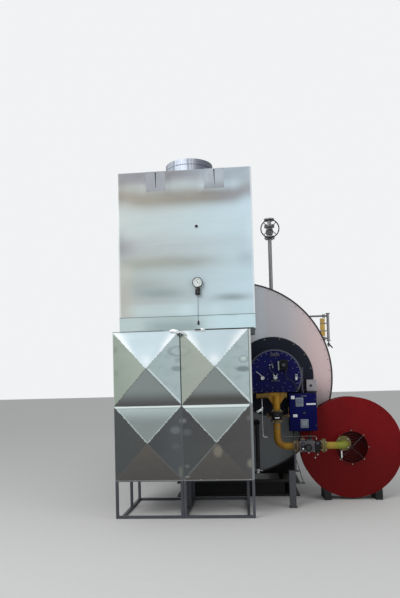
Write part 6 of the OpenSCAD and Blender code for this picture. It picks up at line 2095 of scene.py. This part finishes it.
class BOILER_OT_fan(bpy.types.Operator):
    """Adds the fan's seam bolts, inlet guard, duct flange bolts and motor details"""

    bl_idname = "boiler.fan"
    bl_label = "Fan"

    def execute(self, context):
        fan = Piece("fan_details", (FAN.x, 0, FAN.z))
        for y, along in ((FAN_Y, "-y"), (-0.05, "y")):
            fan.bolts(fan.at(0, y, 0, along), FAN_R - 0.03, 24, 0.012, 0.1, "red", False)
        # inlet guard of rings and four stays
        guard, reach = FAN_Y - 0.012, 0.222
        for k in range(6):
            r = 0.035 + k * 0.034
            wire = [(r - 0.0025, 0), (r, -0.0025), (r + 0.0025, 0), (r, 0.0025)]
            fan.ring(wire, fan.at(0, guard, 0), "case_black", 48)
        for k in range(4):
            turn = math.radians(45 + 90 * k)
            fan.tube([(0, guard, 0), (reach * math.cos(turn), guard, reach * math.sin(turn))], 0.003, "case_black", 8)
        fan.bolts(fan.at(0, FAN_Y - 0.014, 0), reach, 8, 0.01)
        # bolts of the flange under the duct
        spots = [(x, -0.068) for x in np.linspace(0.866, 1.084, 5)]
        spots += [(x, y) for y in np.linspace(-0.3, -0.1, 4) for x in (1.092, 0.858)]
        for x, y in spots:
            fan.rod(0.008, 0.006, at(x, y, 1.223), "bolt", 6)
        self.motor(fan)
        fan.done("motor_grey")
        return {"FINISHED"}

    @staticmethod
    def motor(fan):
        """Rings of the motor's cowl, its terminal box and the bolts of its flange."""
        low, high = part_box("fan_motor")
        x, top = (low.x + high.x) / 2 - FAN.x, high.z - FAN.z
        for k in range(5):
            r = 0.03 + k * 0.026
            slot = [(r - 0.002, 0), (r + 0.002, 0), (r + 0.002, 0.003), (r - 0.002, 0.003)]
            fan.ring(slot, fan.at(x, high.y - 0.001, 0, "y"), "case_black", 40)
        fan.box((x - 0.052, low.y + 0.113, top - 0.004), (x + 0.052, low.y + 0.217, top), "motor", 0.003)
        fan.bolts(fan.at(x, low.y + 0.02, 0, "y"), 0.178, 8, 0.014)


class BOILER_OT_level_gauge(bpy.types.Operator):
    """Builds the water level gauge with its glass, cocks and drain"""

    bl_idname = "boiler.level_gauge"
    bl_label = "Level gauge"

    def execute(self, context):
        foot, top, tail = 2.19, 2.52, 0.04
        tall, look = top - foot, "pipe_steel"
        gauge = Piece("level_gauge_dressed", (SHELL_R + 0.022, 0.4, foot))
        column = [(0.029, 0), (0.032, 0.003), (0.032, 0.009), (0.029, 0.012), (0.02, 0.014)]
        span = tall + 2 * tail
        column += [(radius, span - height) for radius, height in reversed(column)]
        gauge.lathe(column, gauge.at(0, 0, -tail, "z"), look, 32)
        cock = [(0.03, 0), (0.03, 0.008), (0.022, 0.01), (0.022, 0.02), (0.03, 0.022), (0.03, 0.03)]
        for z in (0, tall):
            inner = math.sqrt(SHELL_R**2 - (foot + z - SHELL_Z) ** 2) - gauge.origin[0]
            gauge.tube([(inner - 0.02, 0, z), (0, 0, z)], 0.014, look, 20)
            gauge.lathe(cock, gauge.at(-0.075, 0, z, "x"), look, 32)
        # amber glass with its scale and guards
        gauge.box((-0.115, -0.014, 0.036), (-0.045, 0.014, tall - 0.036), "amber", 0.003)
        for k in range(13):
            z = 0.052 + k * 0.0185
            reach = 0.016 if k % 3 == 0 else 0.01
            gauge.box((-0.112, -0.0155, z), (-0.112 + reach, -0.0135, z + 0.002), "ink", 0.0003)
        for z in (0.11, tall - 0.11):
            gauge.box((-0.115, -0.016, z - 0.008), (0, 0.008, z + 0.008), look, 0.002)
        # drain cock with its lever
        stem = -tail - 0.05
        gauge.rod(0.01, 0.085, gauge.at(0, 0, -tail - 0.085, "z"), look, 20)
        body = [(0, 0), (0.018, 0.004), (0.022, 0.016), (0.022, 0.028), (0.018, 0.04), (0, 0.044)]
        gauge.lathe(body, gauge.at(0, 0, -tail - 0.072, "z"), look, 24)
        gauge.tube([(0, 0, stem), (0, -0.052, stem)], 0.007, "bolt", 12)
        lean = gauge.at(0, -0.046, stem, "z") @ Matrix.Rotation(math.radians(50), 4, "Y")
        lever = [(-0.025, -0.009), (0.066, -0.009), (0.075, -0.004), (0.075, 0.004), (0.066, 0.009), (-0.025, 0.009)]
        gauge.prism(lever, 0.012, lean @ ALONG["-y"], "case_black", 0.002)
        gauge.done("pipe_steel", "level_gauge")
        return {"FINISHED"}


STEPS = (
    BOILER_OT_stage,
    BOILER_OT_frame_finishes,
    BOILER_OT_front_panels,
    BOILER_OT_upper_walls,
    BOILER_OT_casing_trim,
    BOILER_OT_thermometer,
    BOILER_OT_leg_welds,
    BOILER_OT_shell_details,
    BOILER_OT_burner,
    BOILER_OT_cabinet,
    BOILER_OT_gas_train,
    BOILER_OT_fan,
    BOILER_OT_level_gauge,
)


class BOILER_PT_looks(bpy.types.Panel):
    """Lists the boiler's settings and steps"""

    bl_label = "Boiler"
    bl_idname = "BOILER_PT_looks"
    bl_space_type = "VIEW_3D"
    bl_region_type = "UI"
    bl_category = "Boiler"

    def draw(self, context):
        layout = self.layout
        for group in (context.scene.boiler_looks, context.scene.boiler_stage):
            box = layout.box()
            for name in group.__annotations__:
                box.prop(group, name)
        for step in STEPS:
            layout.operator(step.bl_idname)


CLASSES = (BoilerLooks, BoilerStage, *STEPS, BOILER_PT_looks)


def register():
    for cls in CLASSES:
        bpy.utils.register_class(cls)
    bpy.types.Scene.boiler_looks = PointerProperty(type=BoilerLooks)
    bpy.types.Scene.boiler_stage = PointerProperty(type=BoilerStage)


def unregister():
    del bpy.types.Scene.boiler_stage
    del bpy.types.Scene.boiler_looks
    for cls in reversed(CLASSES):
        bpy.utils.unregister_class(cls)


def main():
    register()
    for step in STEPS:
        group, name = step.bl_idname.split(".")
        getattr(getattr(bpy.ops, group), name)()


if __name__ == "__main__":
    main()
